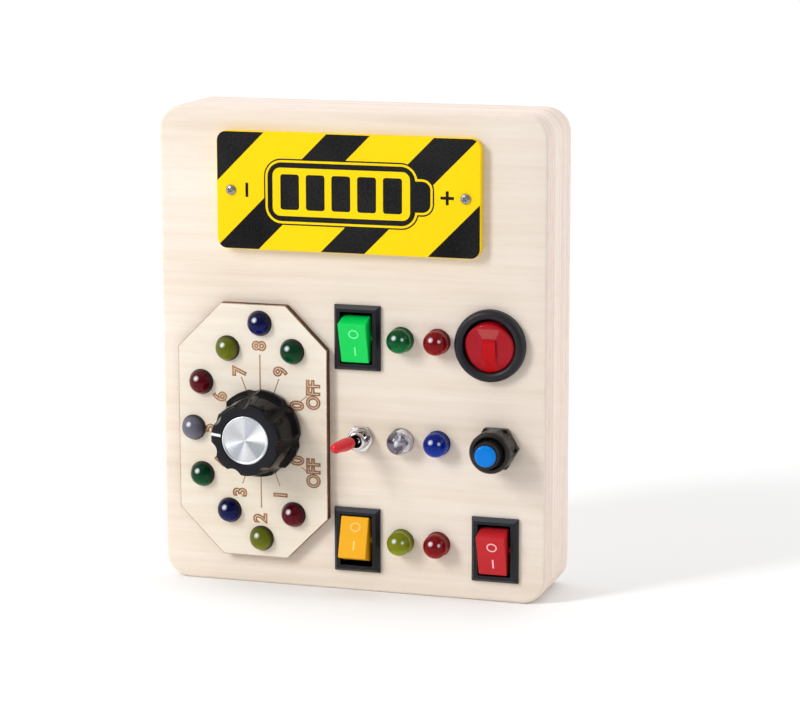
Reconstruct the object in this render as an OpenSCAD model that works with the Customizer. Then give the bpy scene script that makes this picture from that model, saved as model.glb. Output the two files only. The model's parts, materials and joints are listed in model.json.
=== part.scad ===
// Wooden busy board: a small upright box with a lamp panel, a rotary selector on a cut dial plate,
// rocker switches, a toggle, a push button and a striped sign plate.
// The box stands on its lower edge: +X is to the viewer's right, the front faces -Y and +Z is up.
// Pieces on the panel are drawn lying down: x to the right, y up the panel, z out of the front face.

/* [Box] */
// Width of the box
box_w = 130; // [125:1:150]
// Height of the box
box_h = 157; // [150:1:180]
// Depth of the box, front face to back face
box_d = 30; // [30:1:40]
// Corner radius of the outline
corner_r = 8; // [4:0.5:10]
// Round-over along the front and back edges
edge_r = 1; // [0.5:0.25:1.5]
// Width of the frame rings' walls
wall = 6.5; // [6:0.1:6.6]
// Thickness of the front panel
front_t = 4; // [4:0.5:5]
// Thickness of the front frame ring
front_ring_t = 9; // [6:0.5:10]
// Thickness of the rear frame ring
rear_ring_t = 12; // [10:0.5:12]

/* [Sign plate] */
// Width of the sign plate
sign_w = 88; // [80:1:96]
// Height of the sign plate
sign_h = 38; // [34:1:42]
// Thickness of the sign plate
sign_t = 3; // [2:0.5:3]
// Height of the sign plate's centre above the base
sign_y = 130.5; // [128:0.5:132]
// Distance of each sign screw from the middle
sign_screw_x = 39.2; // [36:0.2:40]

/* [Dial] */
// Place of the selector's axis across the board
dial_x = -30; // [-30.5:0.1:-29]
// Height of the selector's axis
dial_y = 51.7; // [50:0.1:53]
// Thickness of the dial plate
dial_t = 3; // [2.5:0.5:3]
// Width of the dial plate
dial_w = 51.2; // [50:0.2:52]
// Height of the dial plate
dial_h = 83.7; // [82:0.1:86]
// Corner cut of the dial plate
dial_cut = 15; // [12:0.5:17]

/* [Knob] */
// Radius of the knob's skirt
skirt_r = 14.4; // [13.8:0.1:14.6]
// Radius over the lobes at the front of the knob
lobe_r = 11.7; // [11.4:0.1:12]
// Radius to the bottom of the flutes at the front
flute_bottom_r = 10.4; // [10:0.1:10.6]
// Height of the knob's front above the panel
knob_top = 17.8; // [16:0.2:19]
// Number of flutes
flute_count = 7; // [6:1:9]
// Turn of the pointer from the right, anticlockwise
pointer_angle = 172.5; // [165:0.5:187]

/* [Lamps] */
// Radius of a lamp's body
lamp_r = 4; // [3.9:0.05:4]
// Height of a lamp's tip above the panel
lamp_top = 6.9; // [6:0.1:7.2]

/* [Rocker switches] */
// Width of a rectangular switch's bezel
bezel_w = 15.5; // [15:0.1:15.8]
// Height of a rectangular switch's bezel
bezel_h = 21.2; // [21:0.1:22]
// Height of the bezel above the panel
bezel_t = 2.2; // [2:0.1:2.4]
// Tilt of a rocker to each side
rocker_tilt = 16.5; // [14:0.5:17]
// Width of a rocker
rocker_w = 10.2; // [10:0.1:10.4]
// Radius of a rocker's ends about its pivot
rocker_r = 8.4; // [8.3:0.05:8.4]

/* [Round switch] */
// Outer radius of the round bezel
ring_r = 11.6; // [11.5:0.1:12]
// Tilt of the round rocker to each side
round_tilt = 10; // [8:1:10]
// Radius of the round rocker about its pivot
round_r = 8.35; // [8.25:0.05:8.35]

/* [Toggle] */
// Tilt of the toggle lever to each side
lever_tilt = 12.5; // [10:0.5:12.5]
// Length of the lever from its pivot to the sleeve's tip
lever_len = 15.9; // [15.5:0.1:18]

/* [Push button] */
// Radius of the button's cap and plunger
cap_r = 4.35; // [4.3:0.05:4.35]
// Height of the cap above the panel
cap_top = 14.7; // [14:0.1:16]
// Travel of the push button
button_travel = 2.5; // [2:0.1:2.5]

/* [Battery bay] */
// Height of the battery bay's centre above the base
bay_y = 122; // [120:0.5:123]
// Radius of a battery cell
cell_r = 5.25; // [5.2:0.05:5.25]
// Length of a battery cell
cell_len = 44.5; // [44:0.1:44.5]

/* [Hidden] */
$fn = 64;
EPS = 0.01;
run_fit = 0.05;
side_gap = 0.3;

back_t = box_d - front_t - front_ring_t - rear_ring_t;
front_ring_z = -front_t - front_ring_t;
rear_ring_z = front_ring_z - rear_ring_t;
back_z = -box_d;
inner_z = -front_t;

back_screw_r = 1.25;
back_screw_head_r = 2.4;
back_screw_bite = 10;
back_screw_x = box_w / 2 - wall / 2 - 0.4;
back_screw_places = [
    for (sx = [-1, 1], y = [wall / 2 + 3.5, box_h / 2, box_h - wall / 2 - 3.5]) [sx * back_screw_x, y]
];

sign_r = 3.5;
sign_screw_head_r = 1.65;
sign_screw_r = 0.85;
pilot_gap = 0.05;

// The dial plate's middle lies a little left of the selector's axis.
dial_mid_x = dial_x - 2.75;
dial_mid_y = dial_y;

// Lamps on the dial, as offsets from the selector's axis.
far_y = 35.7;
near_x = 11.1;
near_y = 27;
side_x = 20.4;
side_y = 15.4;
left_x = 23.2;

// Lamps on the panel stand in two columns and three rows.
lamp_cols = [17.1, 29.3];
lamp_rows = [84, 50.9, 17.6];

red_lamp_places = [
    dial_place(-side_x, side_y), dial_place(near_x, -near_y),
    [lamp_cols[1], lamp_rows[0]], [lamp_cols[1], lamp_rows[2]]
];
green_lamp_places = [
    dial_place(near_x, near_y), dial_place(-side_x, -side_y), [lamp_cols[0], lamp_rows[0]]
];
blue_lamp_places = [
    dial_place(0, far_y), dial_place(-near_x, -near_y), [lamp_cols[1], lamp_rows[1]]
];
yellow_lamp_places = [
    dial_place(-near_x, near_y), dial_place(0, -far_y), [lamp_cols[0], lamp_rows[2]]
];
clear_lamp_places = [dial_place(-left_x, 0), [lamp_cols[0], lamp_rows[1]]];
lamp_places = concat(red_lamp_places, green_lamp_places, blue_lamp_places,
                     yellow_lamp_places, clear_lamp_places);
lamp_hole_r = lamp_r + 0.1;
lamp_flange_r = 4.7;
lamp_flange_t = 1.5;
lead_side = 0.5;
lead_pitch = 2.54;
lead_len = 7;

// Places of the switches on the panel.
green_switch_at = [2.5, 84];
yellow_switch_at = [2.2, 17.3];
red_switch_at = [48.6, 17.3];
round_switch_at = [46.8, 83.8];
toggle_at = [3.4, 50.9];
button_at = [48.9, 50.8];

// Rectangular rocker switch.
body_w = 12.8;
body_l = 18.8;
body_depth = 13;
mouth_w = rocker_w + 2 * side_gap;
mouth_l = 16.8;
pocket_l = 17.8;
pocket_depth = 6.4;
lip_t = 0.9;
pivot_drop = 3.2;
rocker_pivot_z = bezel_t - pivot_drop;
trunnion_r = 1.2;
crest_angle = 52;
flank_angle = 86;
blade_w = 4.8;
blade_t = 0.8;
blade_len = 7;
blade_pitch = 7;

// Round rocker switch.
ring_bead_r = 1.65;
ring_bead_z = 1.65;
barrel_r = 10;
barrel_bore_r = 8.75;
barrel_depth = 14;
round_pocket_depth = 7;
round_pivot_z = -1.2;
round_crest_v = 4.6;
round_crest_u = sqrt(round_r * round_r - round_crest_v * round_crest_v);
round_dip = round_crest_u * tan(round_tilt);
round_valley_v = round_crest_v - round_dip;
// Radius of the hollow that runs through both crests and the valley.
hollow_r = (round_crest_u * round_crest_u + round_dip * round_dip) / (2 * round_dip);
rib_w = 4.4;
rib_top_v = round_crest_v - 0.3;

// Selector and its knob.
bushing_r = 4.5;
shaft_r = 3;
rotary_r = 13;
rotary_depth = 10;
shaft_foot_z = inner_z - rotary_depth + 2;
knob_gap = 1;
knob_base_z = dial_t + knob_gap;
disc_r = 7.85;
disc_t = 0.5;
flute_r = 3.5;
flute_end_z = 8.5;
pointer_w = 0.9;

// Toggle switch.
toggle_body_d = 9.5;
toggle_front_z = 5.5;
toggle_bushing_r = 3;
lever_pivot_z = 2.5;
lever_ball_r = 2.1;
lever_mouth_r = 2.05;
lever_pin_r = 0.6;
lever_pin_len = 5.2;
sleeve_start = 5.1;

// Push button.
flange_t = 2.5;
collar_r = 6.7;
collar_top = 9.5;
hex_r = 7.5;
rim_r = 5.25;
button_barrel_r = 5.9;
button_depth = 13;
// The plunger's flange moves between the chamber's roof and the ledge that ends its travel.
chamber_r = 5.1;
chamber_z = collar_top - 3;
cap_foot_z = chamber_z - 1.45;
ledge_z = cap_foot_z - button_travel - 0.1;
cap_seat_z = cap_top - 1.5;
spring_r = 3.2;
spring_wire_r = 0.35;
spring_turns = 5;

// Battery bay, seen from the back.
bay_wall = 1.6;
bay_w = 53;
cell_pitch = 11.4;
bay_h = 3 * cell_pitch + 0.4;
boss_w = 7;
tray_w = bay_w + 2 * bay_wall + boss_w;
tray_h = bay_h + 2 * bay_wall;
tray_x = -boss_w / 2;
cover_t = 2;
cover_gap = 0.25;
tray_floor_z = -15.5;
boss_x = bay_w / 2 + bay_wall + boss_w / 2 - 0.4;
tray_back_z = back_z + cover_t;
cells_z = tray_floor_z - cell_r - 0.3;
cell_rows = [-cell_pitch, 0, cell_pitch];
cell_shift = bay_w / 2 - 0.4 - cell_len / 2;

// ---------- Shared shapes ----------

function dial_place(dx, dy) = [dial_x + dx, dial_y + dy];

// Stands the lying panel frame up: z of the panel frame points out of the front, along -Y.
module upright() {
    translate([0, -box_d / 2, 0]) rotate([90, 0, 0]) children();
}

module at(place, z = 0) {
    translate([place[0], place[1], z]) children();
}

module rounded_rect(w, h, r) {
    square([w - 2 * r, h], center = true);
    square([w, h - 2 * r], center = true);
    for (sx = [-1, 1], sy = [-1, 1]) {
        translate([sx * (w / 2 - r), sy * (h / 2 - r)]) circle(r);
    }
}

module box_outline() {
    translate([0, box_h / 2]) rounded_rect(box_w, box_h, corner_r);
}

// Board of the box's outline with one face's edge rounded over: the face at z = t.
module rounded_board(t) {
    hull() {
        for (sx = [-1, 1], y = [corner_r, box_h - corner_r]) {
            translate([sx * (box_w / 2 - corner_r), y, 0]) rotate_extrude($fn = 32) {
                square([corner_r, t - edge_r]);
                square([corner_r - edge_r, t]);
                translate([corner_r - edge_r, t - edge_r]) circle(edge_r, $fn = 16);
            }
        }
    }
}

// Holes through the front panel for everything that passes it.
module panel_holes() {
    for (place = lamp_places) {
        at(place) cylinder(r = lamp_hole_r, h = 3 * front_t, center = true);
    }
    for (place = [green_switch_at, yellow_switch_at, red_switch_at]) {
        at(place) cube([body_w + 0.3, body_l + 0.3, 3 * front_t], center = true);
    }
    at(round_switch_at) cylinder(r = barrel_r + 0.1, h = 3 * front_t, center = true);
    at(toggle_at) cylinder(r = toggle_bushing_r + 0.1, h = 3 * front_t, center = true);
    at(button_at) cylinder(r = button_barrel_r + 0.1, h = 3 * front_t, center = true);
    at([dial_x, dial_y]) cylinder(r = bushing_r + 0.1, h = 3 * front_t, center = true);
    sign_screw_holes(sign_screw_r + pilot_gap);
}

module sign_screw_holes(r) {
    for (sx = [-1, 1]) {
        at([sx * sign_screw_x, sign_y]) cylinder(r = r, h = 4 * front_t, center = true);
    }
}

// ---------- Wooden box ----------

module front_panel() {
    color("bisque") upright() difference() {
        translate([0, 0, -front_t]) rounded_board(front_t);
        panel_holes();
    }
}

module frame_ring(z, t) {
    translate([0, 0, z]) linear_extrude(t) difference() {
        box_outline();
        translate([0, box_h / 2]) rounded_rect(box_w - 2 * wall, box_h - 2 * wall, 3);
    }
}

module front_frame_ring() {
    color("blanchedalmond") upright() frame_ring(front_ring_z, front_ring_t);
}

module rear_frame_ring() {
    color("blanchedalmond") upright() difference() {
        frame_ring(rear_ring_z, rear_ring_t);
        for (place = back_screw_places) {
            at(place, rear_ring_z - EPS) cylinder(r = back_screw_r + pilot_gap, h = back_screw_bite);
        }
    }
}

// Cone and shank that a countersunk screw fills, its head flush with the back face.
module back_screw_space(gap) {
    cylinder(r1 = back_screw_head_r + gap, r2 = back_screw_r + gap, h = 2);
    cylinder(r = back_screw_r + gap, h = back_t + 1);
}

module back_panel() {
    color("bisque") upright() difference() {
        translate([0, 0, back_z + back_t]) mirror([0, 0, 1]) rounded_board(back_t);
        for (place = back_screw_places) at(place, back_z) back_screw_space(pilot_gap);
        translate([tray_x, bay_y, back_z + back_t / 2]) cube([tray_w + 0.4, tray_h + 0.4, 2 * back_t],
                                                            center = true);
    }
}

module cross_recess(size, depth) {
    for (turn = [0, 90]) {
        rotate([0, 0, turn]) cube([size, size / 4, 2 * depth], center = true);
    }
}

module back_screws() {
    color("silver") upright() for (place = back_screw_places) {
        at(place, back_z) difference() {
            union() {
                cylinder(r1 = back_screw_head_r, r2 = back_screw_r, h = 2);
                cylinder(r = back_screw_r, h = back_t + back_screw_bite - 1);
            }
            rotate([0, 0, 20]) cross_recess(3, 1.1);
        }
    }
}

// ---------- Sign plate ----------

module sign_plate() {
    color("gold") upright() difference() {
        translate([0, sign_y, 0]) linear_extrude(sign_t) rounded_rect(sign_w, sign_h, sign_r);
        sign_screw_holes(sign_screw_r + pilot_gap);
    }
}

module sign_screws() {
    head_t = 1.1;
    color("silver") upright() for (sx = [-1, 1]) {
        at([sx * sign_screw_x, sign_y]) difference() {
            union() {
                translate([0, 0, -front_t + 0.3]) cylinder(r = sign_screw_r, h = front_t + sign_t);
                translate([0, 0, sign_t]) intersection() {
                    cylinder(r = sign_screw_head_r, h = head_t);
                    translate([0, 0, head_t - 2.3]) sphere(2.3);
                }
            }
            translate([0, 0, sign_t + head_t]) rotate([0, 0, 35 * sx]) cross_recess(1.8, 0.6);
        }
    }
}

// ---------- Dial plate ----------

module dial_outline() {
    x = dial_w / 2;
    y = dial_h / 2;
    polygon([
        [-x, y - dial_cut], [-x + dial_cut, y], [x - dial_cut + 1, y], [x, y - dial_cut + 1],
        [x, -y + dial_cut - 1], [x - dial_cut + 1, -y], [-x + dial_cut, -y], [-x, -y + dial_cut]
    ]);
}

module dial_plate() {
    color("moccasin") upright() difference() {
        translate([dial_mid_x, dial_mid_y, 0]) linear_extrude(dial_t) dial_outline();
        for (place = lamp_places) at(place) cylinder(r = lamp_hole_r, h = 3 * dial_t, center = true);
        at([dial_x, dial_y]) cylinder(r = bushing_r + 0.1, h = 3 * dial_t, center = true);
    }
}

// ---------- Selector knob ----------

module on_knob_axis() {
    translate([dial_x, dial_y, 0]) children();
}

// Revolved profile: the hollow skirt, the tapered grip and its eased front edge.
module knob_blank() {
    rotate_extrude() polygon([
        [9.6, knob_base_z], [skirt_r, knob_base_z], [skirt_r, knob_base_z + 2.6],
        [skirt_r - 0.5, knob_base_z + 3.3], [lobe_r + 1.1, knob_base_z + 4],
        [lobe_r + 0.1, knob_top - 0.6], [lobe_r - 0.5, knob_top], [0, knob_top],
        [0, knob_base_z + 3.4], [9.6, knob_base_z + 3.4]
    ]);
}

module flute_cutter() {
    front_x = flute_bottom_r + flute_r;
    end_x = lobe_r + 1 + flute_r;
    lean = atan((end_x - front_x) / (knob_top - flute_end_z));
    translate([front_x, 0, knob_top]) rotate([0, -lean, 0]) {
        translate([0, 0, -14]) cylinder(r = flute_r, h = 18);
    }
}

module knob_solid() {
    difference() {
        knob_blank();
        for (i = [0 : flute_count - 1]) {
            rotate([0, 0, (i + 0.5) * 360 / flute_count]) flute_cutter();
        }
    }
}

module pointer_slot() {
    translate([disc_r + 0.5, -pointer_w / 2, knob_top - 0.5]) cube([8, pointer_w, 1]);
    translate([lobe_r - 0.6, -pointer_w / 2, knob_top - 4]) cube([3, pointer_w, 4]);
}

module knob() {
    color([0.05, 0.05, 0.06]) upright() on_knob_axis() rotate([0, 0, pointer_angle]) difference() {
        knob_solid();
        pointer_slot();
        translate([0, 0, knob_top - disc_t]) cylinder(r = disc_r + 0.05, h = 2);
        translate([0, 0, -EPS]) cylinder(r = shaft_r + 0.02, h = knob_top - 2);
        translate([0, 0, knob_base_z + 5]) rotate([0, 90, 100]) cylinder(r = 1.5, h = 20);
    }
}

module knob_disc() {
    color("gainsboro") upright() on_knob_axis() translate([0, 0, knob_top - disc_t]) {
        cylinder(r = disc_r, h = disc_t);
    }
}

module knob_pointer() {
    color("white") upright() on_knob_axis() rotate([0, 0, pointer_angle]) intersection() {
        knob_solid();
        pointer_slot();
    }
}

module knob_set_screw() {
    color("dimgray") upright() on_knob_axis() rotate([0, 0, pointer_angle]) {
        translate([0, 0, knob_base_z + 5]) rotate([0, 90, 100]) difference() {
            translate([0, 0, shaft_r + 0.02]) cylinder(r = 1.45, h = 6);
            translate([0, 0, shaft_r + 4]) cylinder(r = 0.75, h = 4, $fn = 6);
        }
    }
}

// ---------- Rotary switch behind the dial ----------

module rotary_shaft() {
    color("silver") upright() on_knob_axis() {
        translate([0, 0, shaft_foot_z + 1.6]) cylinder(r = shaft_r, h = knob_top - 2.2 - shaft_foot_z - 1.6);
        translate([0, 0, shaft_foot_z]) cylinder(r = 6, h = 1.6);
    }
}

module rotary_body() {
    color([0.12, 0.12, 0.13]) upright() on_knob_axis() difference() {
        union() {
            translate([0, 0, inner_z - rotary_depth]) cylinder(r = rotary_r, h = rotary_depth);
            translate([0, 0, inner_z - EPS]) cylinder(r = bushing_r, h = front_t + dial_t + 2.6);
        }
        translate([0, 0, inner_z - 1.5]) cylinder(r = shaft_r + run_fit, h = 20);
        translate([0, 0, shaft_foot_z - 0.4]) cylinder(r = 6.4, h = inner_z - 1.4 - shaft_foot_z + 0.4);
        for (turn = [45 : 90 : 315]) {
            rotate([0, 0, turn]) translate([rotary_r, 0, inner_z - rotary_depth - 1]) {
                cylinder(r = 1.6, h = rotary_depth - 2);
            }
        }
    }
}

module rotary_nut() {
    color("silver") upright() on_knob_axis() translate([0, 0, dial_t]) difference() {
        cylinder(r = 7.4, h = 2.2, $fn = 6);
        translate([0, 0, -1]) cylinder(r = bushing_r + 0.02, h = 5);
    }
}

module rotary_terminals() {
    terminal_z = inner_z - rotary_depth;
    color("goldenrod") upright() on_knob_axis() {
        for (i = [0 : 11]) {
            rotate([0, 0, 15 + i * 30]) translate([9.5, -1.1, terminal_z - 5]) difference() {
                cube([0.5, 2.2, 5]);
                translate([-1, 1.1, 1.4]) rotate([0, 90, 0]) cylinder(r = 0.6, h = 3);
            }
        }
        translate([3.2, -1.1, terminal_z - 5]) cube([0.5, 2.2, 5]);
    }
}

// ---------- Rectangular rocker switches ----------

module along_x(len) {
    rotate([90, 0, 90]) linear_extrude(len, center = true) children();
}

// Spring wing under the bezel: a ramp that snaps behind the panel.
module snap_wing() {
    along_x(6) polygon([
        [body_l / 2 - 0.5, inner_z - 6.5], [body_l / 2, inner_z - 6.5],
        [body_l / 2 + 0.9, inner_z - 0.8], [body_l / 2 + 0.9, inner_z - 0.1],
        [body_l / 2 - 0.5, inner_z - 0.1]
    ]);
}

module rocker_housing() {
    difference() {
        union() {
            hull() {
                linear_extrude(0.9) square([bezel_w, bezel_h], center = true);
                linear_extrude(bezel_t) square([bezel_w - 2.2, bezel_h - 2.2], center = true);
            }
            translate([-body_w / 2, -body_l / 2, -body_depth]) cube([body_w, body_l, body_depth + EPS]);
            snap_wing();
            mirror([0, 1, 0]) snap_wing();
        }
        translate([-mouth_w / 2, -mouth_l / 2, bezel_t - lip_t - EPS]) cube([mouth_w, mouth_l, 2 * lip_t]);
        translate([-mouth_w / 2, -pocket_l / 2, -pocket_depth]) {
            cube([mouth_w, pocket_l, pocket_depth + bezel_t - lip_t]);
        }
        translate([0, 0, rocker_pivot_z]) rotate([0, 90, 0]) {
            cylinder(r = trunnion_r + run_fit, h = body_w + 0.2, center = true);
        }
    }
}

// Side outline of a rocker about its pivot: two finger faces that meet in a shallow valley,
// ends on a circle about the pivot, and a narrower foot.
module rocker_profile() {
    crest_u = rocker_r * sin(crest_angle);
    crest_v = rocker_r * cos(crest_angle);
    slope = tan(rocker_tilt);
    valley_v = crest_v - crest_u * slope;
    far_u = rocker_r + 1;
    flank_v = rocker_r * cos(flank_angle);
    foot_u = rocker_r * sin(flank_angle) - 0.4;
    intersection() {
        circle(rocker_r);
        polygon([
            [0, valley_v], [far_u, valley_v + far_u * slope], [far_u, flank_v], [foot_u, flank_v],
            [5.6, -0.6], [2.4, -2], [-2.4, -2], [-5.6, -0.6], [-foot_u, flank_v],
            [-far_u, flank_v], [-far_u, valley_v + far_u * slope]
        ]);
    }
}

module rocker(tilt) {
    translate([0, 0, rocker_pivot_z]) rotate([tilt, 0, 0]) {
        along_x(rocker_w) rocker_profile();
        rotate([0, 90, 0]) cylinder(r = trunnion_r, h = body_w - 0.6, center = true);
    }
}

module solder_blade(z) {
    translate([-blade_w / 2, -blade_t / 2, z - blade_len]) difference() {
        cube([blade_w, blade_t, blade_len]);
        translate([blade_w / 2, 0, 2]) rotate([90, 0, 0]) cylinder(r = 0.8, h = 3, center = true);
    }
}

module rocker_terminals() {
    for (sy = [-1, 1]) translate([0, sy * blade_pitch / 2, 0]) solder_blade(-body_depth);
}

module green_switch_housing() {
    color([0.16, 0.17, 0.2]) upright() at(green_switch_at) rocker_housing();
}

module green_rocker() {
    color([0, 0.8, 0.36]) upright() at(green_switch_at) rocker(rocker_tilt);
}

module green_switch_terminals() {
    color("goldenrod") upright() at(green_switch_at) rocker_terminals();
}

module yellow_switch_housing() {
    color([0.16, 0.17, 0.2]) upright() at(yellow_switch_at) rocker_housing();
}

module yellow_rocker() {
    color("orange") upright() at(yellow_switch_at) rocker(-rocker_tilt);
}

module yellow_switch_terminals() {
    color("goldenrod") upright() at(yellow_switch_at) rocker_terminals();
}

module red_switch_housing() {
    color([0.16, 0.17, 0.2]) upright() at(red_switch_at) rocker_housing();
}

module red_rocker() {
    color([0.8, 0.14, 0.16]) upright() at(red_switch_at) rocker(rocker_tilt);
}

module red_switch_terminals() {
    color("goldenrod") upright() at(red_switch_at) rocker_terminals();
}

// ---------- Round rocker switch ----------

module round_switch_housing() {
    bead_x = ring_r - ring_bead_r;
    color([0.13, 0.13, 0.14]) upright() at(round_switch_at) difference() {
        union() {
            rotate_extrude() {
                translate([bead_x - ring_bead_r, 0]) square([2 * ring_bead_r, ring_bead_z]);
                translate([bead_x, ring_bead_z]) circle(ring_bead_r);
            }
            translate([0, 0, -barrel_depth]) cylinder(r = barrel_r, h = barrel_depth + EPS);
            for (turn = [0, 180]) {
                rotate([0, 0, turn]) rotate([90, 0, 0]) linear_extrude(6, center = true) polygon([
                    [barrel_r - 0.5, inner_z - 6.5], [barrel_r - 0.1, inner_z - 6.5],
                    [barrel_r + 0.9, inner_z - 0.8], [barrel_r + 0.9, inner_z - 0.1],
                    [barrel_r - 0.5, inner_z - 0.1]
                ]);
            }
        }
        translate([0, 0, -round_pocket_depth]) cylinder(r = barrel_bore_r, h = round_pocket_depth + 1.5);
        translate([0, 0, round_pivot_z]) rotate([0, 90, 0]) {
            cylinder(r = trunnion_r + run_fit, h = 2 * barrel_r + 0.1, center = true);
        }
    }
}

// Middle rib of the round rocker with sloping sides, from crest to crest.
module round_rib() {
    half = rib_w / 2;
    rotate([90, 0, 0]) linear_extrude(2 * round_r, center = true) polygon([
        [-half - 0.4, 0], [-half - 0.4, round_valley_v - 0.2], [-half, rib_top_v - 0.2],
        [-half + 0.2, rib_top_v], [half - 0.2, rib_top_v], [half, rib_top_v - 0.2],
        [half + 0.4, round_valley_v - 0.2], [half + 0.4, 0]
    ]);
}

module round_rocker() {
    far_u = round_r + 1;
    color([0.75, 0.08, 0.12]) upright() at(round_switch_at, round_pivot_z) rotate([round_tilt, 0, 0]) {
        difference() {
            intersection() {
                sphere(round_r);
                along_x(2 * round_r) polygon([
                    [far_u, far_u], [far_u, -0.5], [4, -3], [-4, -3], [-far_u, -0.5], [-far_u, far_u]
                ]);
            }
            difference() {
                translate([0, 0, round_valley_v + hollow_r]) rotate([0, 90, 0]) {
                    cylinder(r = hollow_r, h = 2 * round_r + 2, center = true);
                }
                round_rib();
            }
        }
        rotate([0, 90, 0]) cylinder(r = trunnion_r, h = 2 * barrel_r - 0.5, center = true);
    }
}

module round_switch_terminals() {
    color("goldenrod") upright() at(round_switch_at) {
        for (sy = [-1, 0, 1]) translate([0, sy * 6, 0]) solder_blade(-barrel_depth);
    }
}

// ---------- Toggle switch ----------

module toggle_body() {
    color([0.1, 0.22, 0.5]) upright() at(toggle_at, inner_z - toggle_body_d) difference() {
        translate([-6.6, -3.95, 0]) cube([13.2, 7.9, toggle_body_d]);
        translate([0, 0, 4]) cylinder(r = 2.4, h = 10);
    }
}

module toggle_bushing() {
    color("silver") upright() at(toggle_at, inner_z) difference() {
        rotate_extrude() polygon([
            [0, 0], [toggle_bushing_r, 0], [toggle_bushing_r, toggle_front_z - inner_z - 0.8],
            [toggle_bushing_r - 0.25, toggle_front_z - inner_z - 0.25],
            [toggle_bushing_r - 0.7, toggle_front_z - inner_z], [0, toggle_front_z - inner_z]
        ]);
        translate([0, 0, -1]) cylinder(r = 2.4, h = toggle_front_z - inner_z - 0.1);
        cylinder(r = lever_mouth_r, h = 20);
        translate([0, 0, lever_pivot_z - inner_z]) rotate([90, 0, 0]) {
            cylinder(r = lever_pin_r + run_fit, h = lever_pin_len + 0.2, center = true);
        }
    }
}

module toggle_nut() {
    color("silver") upright() at(toggle_at) difference() {
        intersection() {
            cylinder(r = 4.62, h = 2, $fn = 6);
            cylinder(r1 = 5.2, r2 = 4.15, h = 2);
        }
        translate([0, 0, -1]) cylinder(r = toggle_bushing_r + 0.02, h = 5);
    }
}

// Things on the lever, tilted to the left at rest.
module on_lever() {
    at(toggle_at, lever_pivot_z) rotate([0, -lever_tilt, 0]) children();
}

module toggle_lever() {
    color("silver") upright() on_lever() {
        sphere(lever_ball_r);
        rotate([90, 0, 0]) cylinder(r = lever_pin_r, h = lever_pin_len, center = true);
        cylinder(r = 1.05, h = sleeve_start);
        translate([0, 0, sleeve_start - EPS]) cylinder(r1 = 1.2, r2 = 1.3, h = lever_len - sleeve_start - 2);
        translate([0, 0, -5.4]) cylinder(r1 = 0.6, r2 = 0.9, h = 5.4);
    }
}

module toggle_sleeve() {
    tip_r = 1.75;
    root_r = 2.15;
    tip_z = lever_len - tip_r;
    color("firebrick") upright() on_lever() difference() {
        rotate_extrude() {
            polygon([
                [0, sleeve_start], [root_r - 0.5, sleeve_start], [root_r, sleeve_start + 1.2],
                [root_r, sleeve_start + 4], [tip_r, tip_z], [0, tip_z]
            ]);
            intersection() {
                translate([0, tip_z]) circle(tip_r);
                translate([0, tip_z - EPS]) square([tip_r, tip_r + 1]);
            }
        }
        translate([0, 0, sleeve_start - EPS]) {
            cylinder(r1 = 1.22, r2 = 1.32, h = lever_len - sleeve_start - 2);
        }
    }
}

module toggle_terminals() {
    color("goldenrod") upright() at(toggle_at, inner_z - toggle_body_d) {
        for (sx = [-1, 0, 1]) translate([sx * 4.7 - 0.4, -0.9, -4]) cube([0.8, 1.8, 4]);
    }
}

// ---------- Push button ----------

module button_housing() {
    color([0.1, 0.1, 0.11]) upright() at(button_at) difference() {
        union() {
            cylinder(r = hex_r, h = flange_t, $fn = 6);
            translate([0, 0, flange_t]) rotate_extrude() polygon([
                [0, -EPS], [collar_r, -EPS], [collar_r, collar_top - flange_t - 0.7],
                [collar_r - 0.6, collar_top - flange_t], [0, collar_top - flange_t]
            ]);
            translate([0, 0, -button_depth]) cylinder(r = button_barrel_r, h = button_depth + EPS);
        }
        translate([0, 0, collar_top - 1.4]) cylinder(r1 = cap_r + 0.5, r2 = rim_r, h = 1.41);
        translate([0, 0, ledge_z]) cylinder(r = chamber_r, h = chamber_z - ledge_z);
        translate([0, 0, -button_depth + 2]) cylinder(r = cap_r + run_fit, h = 40);
        for (turn = [0 : 60 : 300]) {
            rotate([0, 0, turn]) translate([collar_r + 0.1, 0, flange_t - 1]) {
                cylinder(r = 0.45, h = 1 + EPS, $fn = 3);
            }
        }
    }
}

module button_nut() {
    color([0.1, 0.1, 0.11]) upright() at(button_at, inner_z - 2.5) difference() {
        cylinder(r = 8.2, h = 2.5, $fn = 6);
        translate([0, 0, -1]) cylinder(r = button_barrel_r + 0.02, h = 5);
    }
}

module button_plunger() {
    color([0.1, 0.1, 0.11]) upright() at(button_at, cap_foot_z) {
        cylinder(r = cap_r, h = cap_seat_z - cap_foot_z);
        cylinder(r = chamber_r - 0.3, h = 1.4);
    }
}

module button_cap() {
    color([0, 0.48, 0.86]) upright() at(button_at) rotate_extrude() polygon([
        [0, cap_seat_z], [cap_r, cap_seat_z], [cap_r, cap_top - 0.8], [cap_r - 0.25, cap_top - 0.4],
        [cap_r - 0.9, cap_top - 0.12], [0, cap_top]
    ]);
}

// Points of the coil's wire: ring after ring of a helix, with a six-sided section.
module helix(coil_r, wire_r, height, turns) {
    steps = 12;
    sides = 6;
    n = turns * steps;
    points = [
        for (i = [0 : n], k = [0 : sides - 1])
            let (turn = i * 360 / steps, side = k * 360 / sides, r = coil_r + wire_r * cos(side))
            [r * cos(turn), r * sin(turn), wire_r + (height - 2 * wire_r) * i / n + wire_r * sin(side)]
    ];
    walls = [
        for (i = [0 : n - 1], k = [0 : sides - 1])
            let (a = i * sides + k, b = i * sides + (k + 1) % sides)
            each [[a, a + sides, b], [b, a + sides, b + sides]]
    ];
    start_cap = [for (k = [1 : sides - 2]) [0, k, k + 1]];
    end_cap = [for (k = [1 : sides - 2]) [n * sides, n * sides + k + 1, n * sides + k]];
    polyhedron(points, concat(walls, start_cap, end_cap));
}

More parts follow.
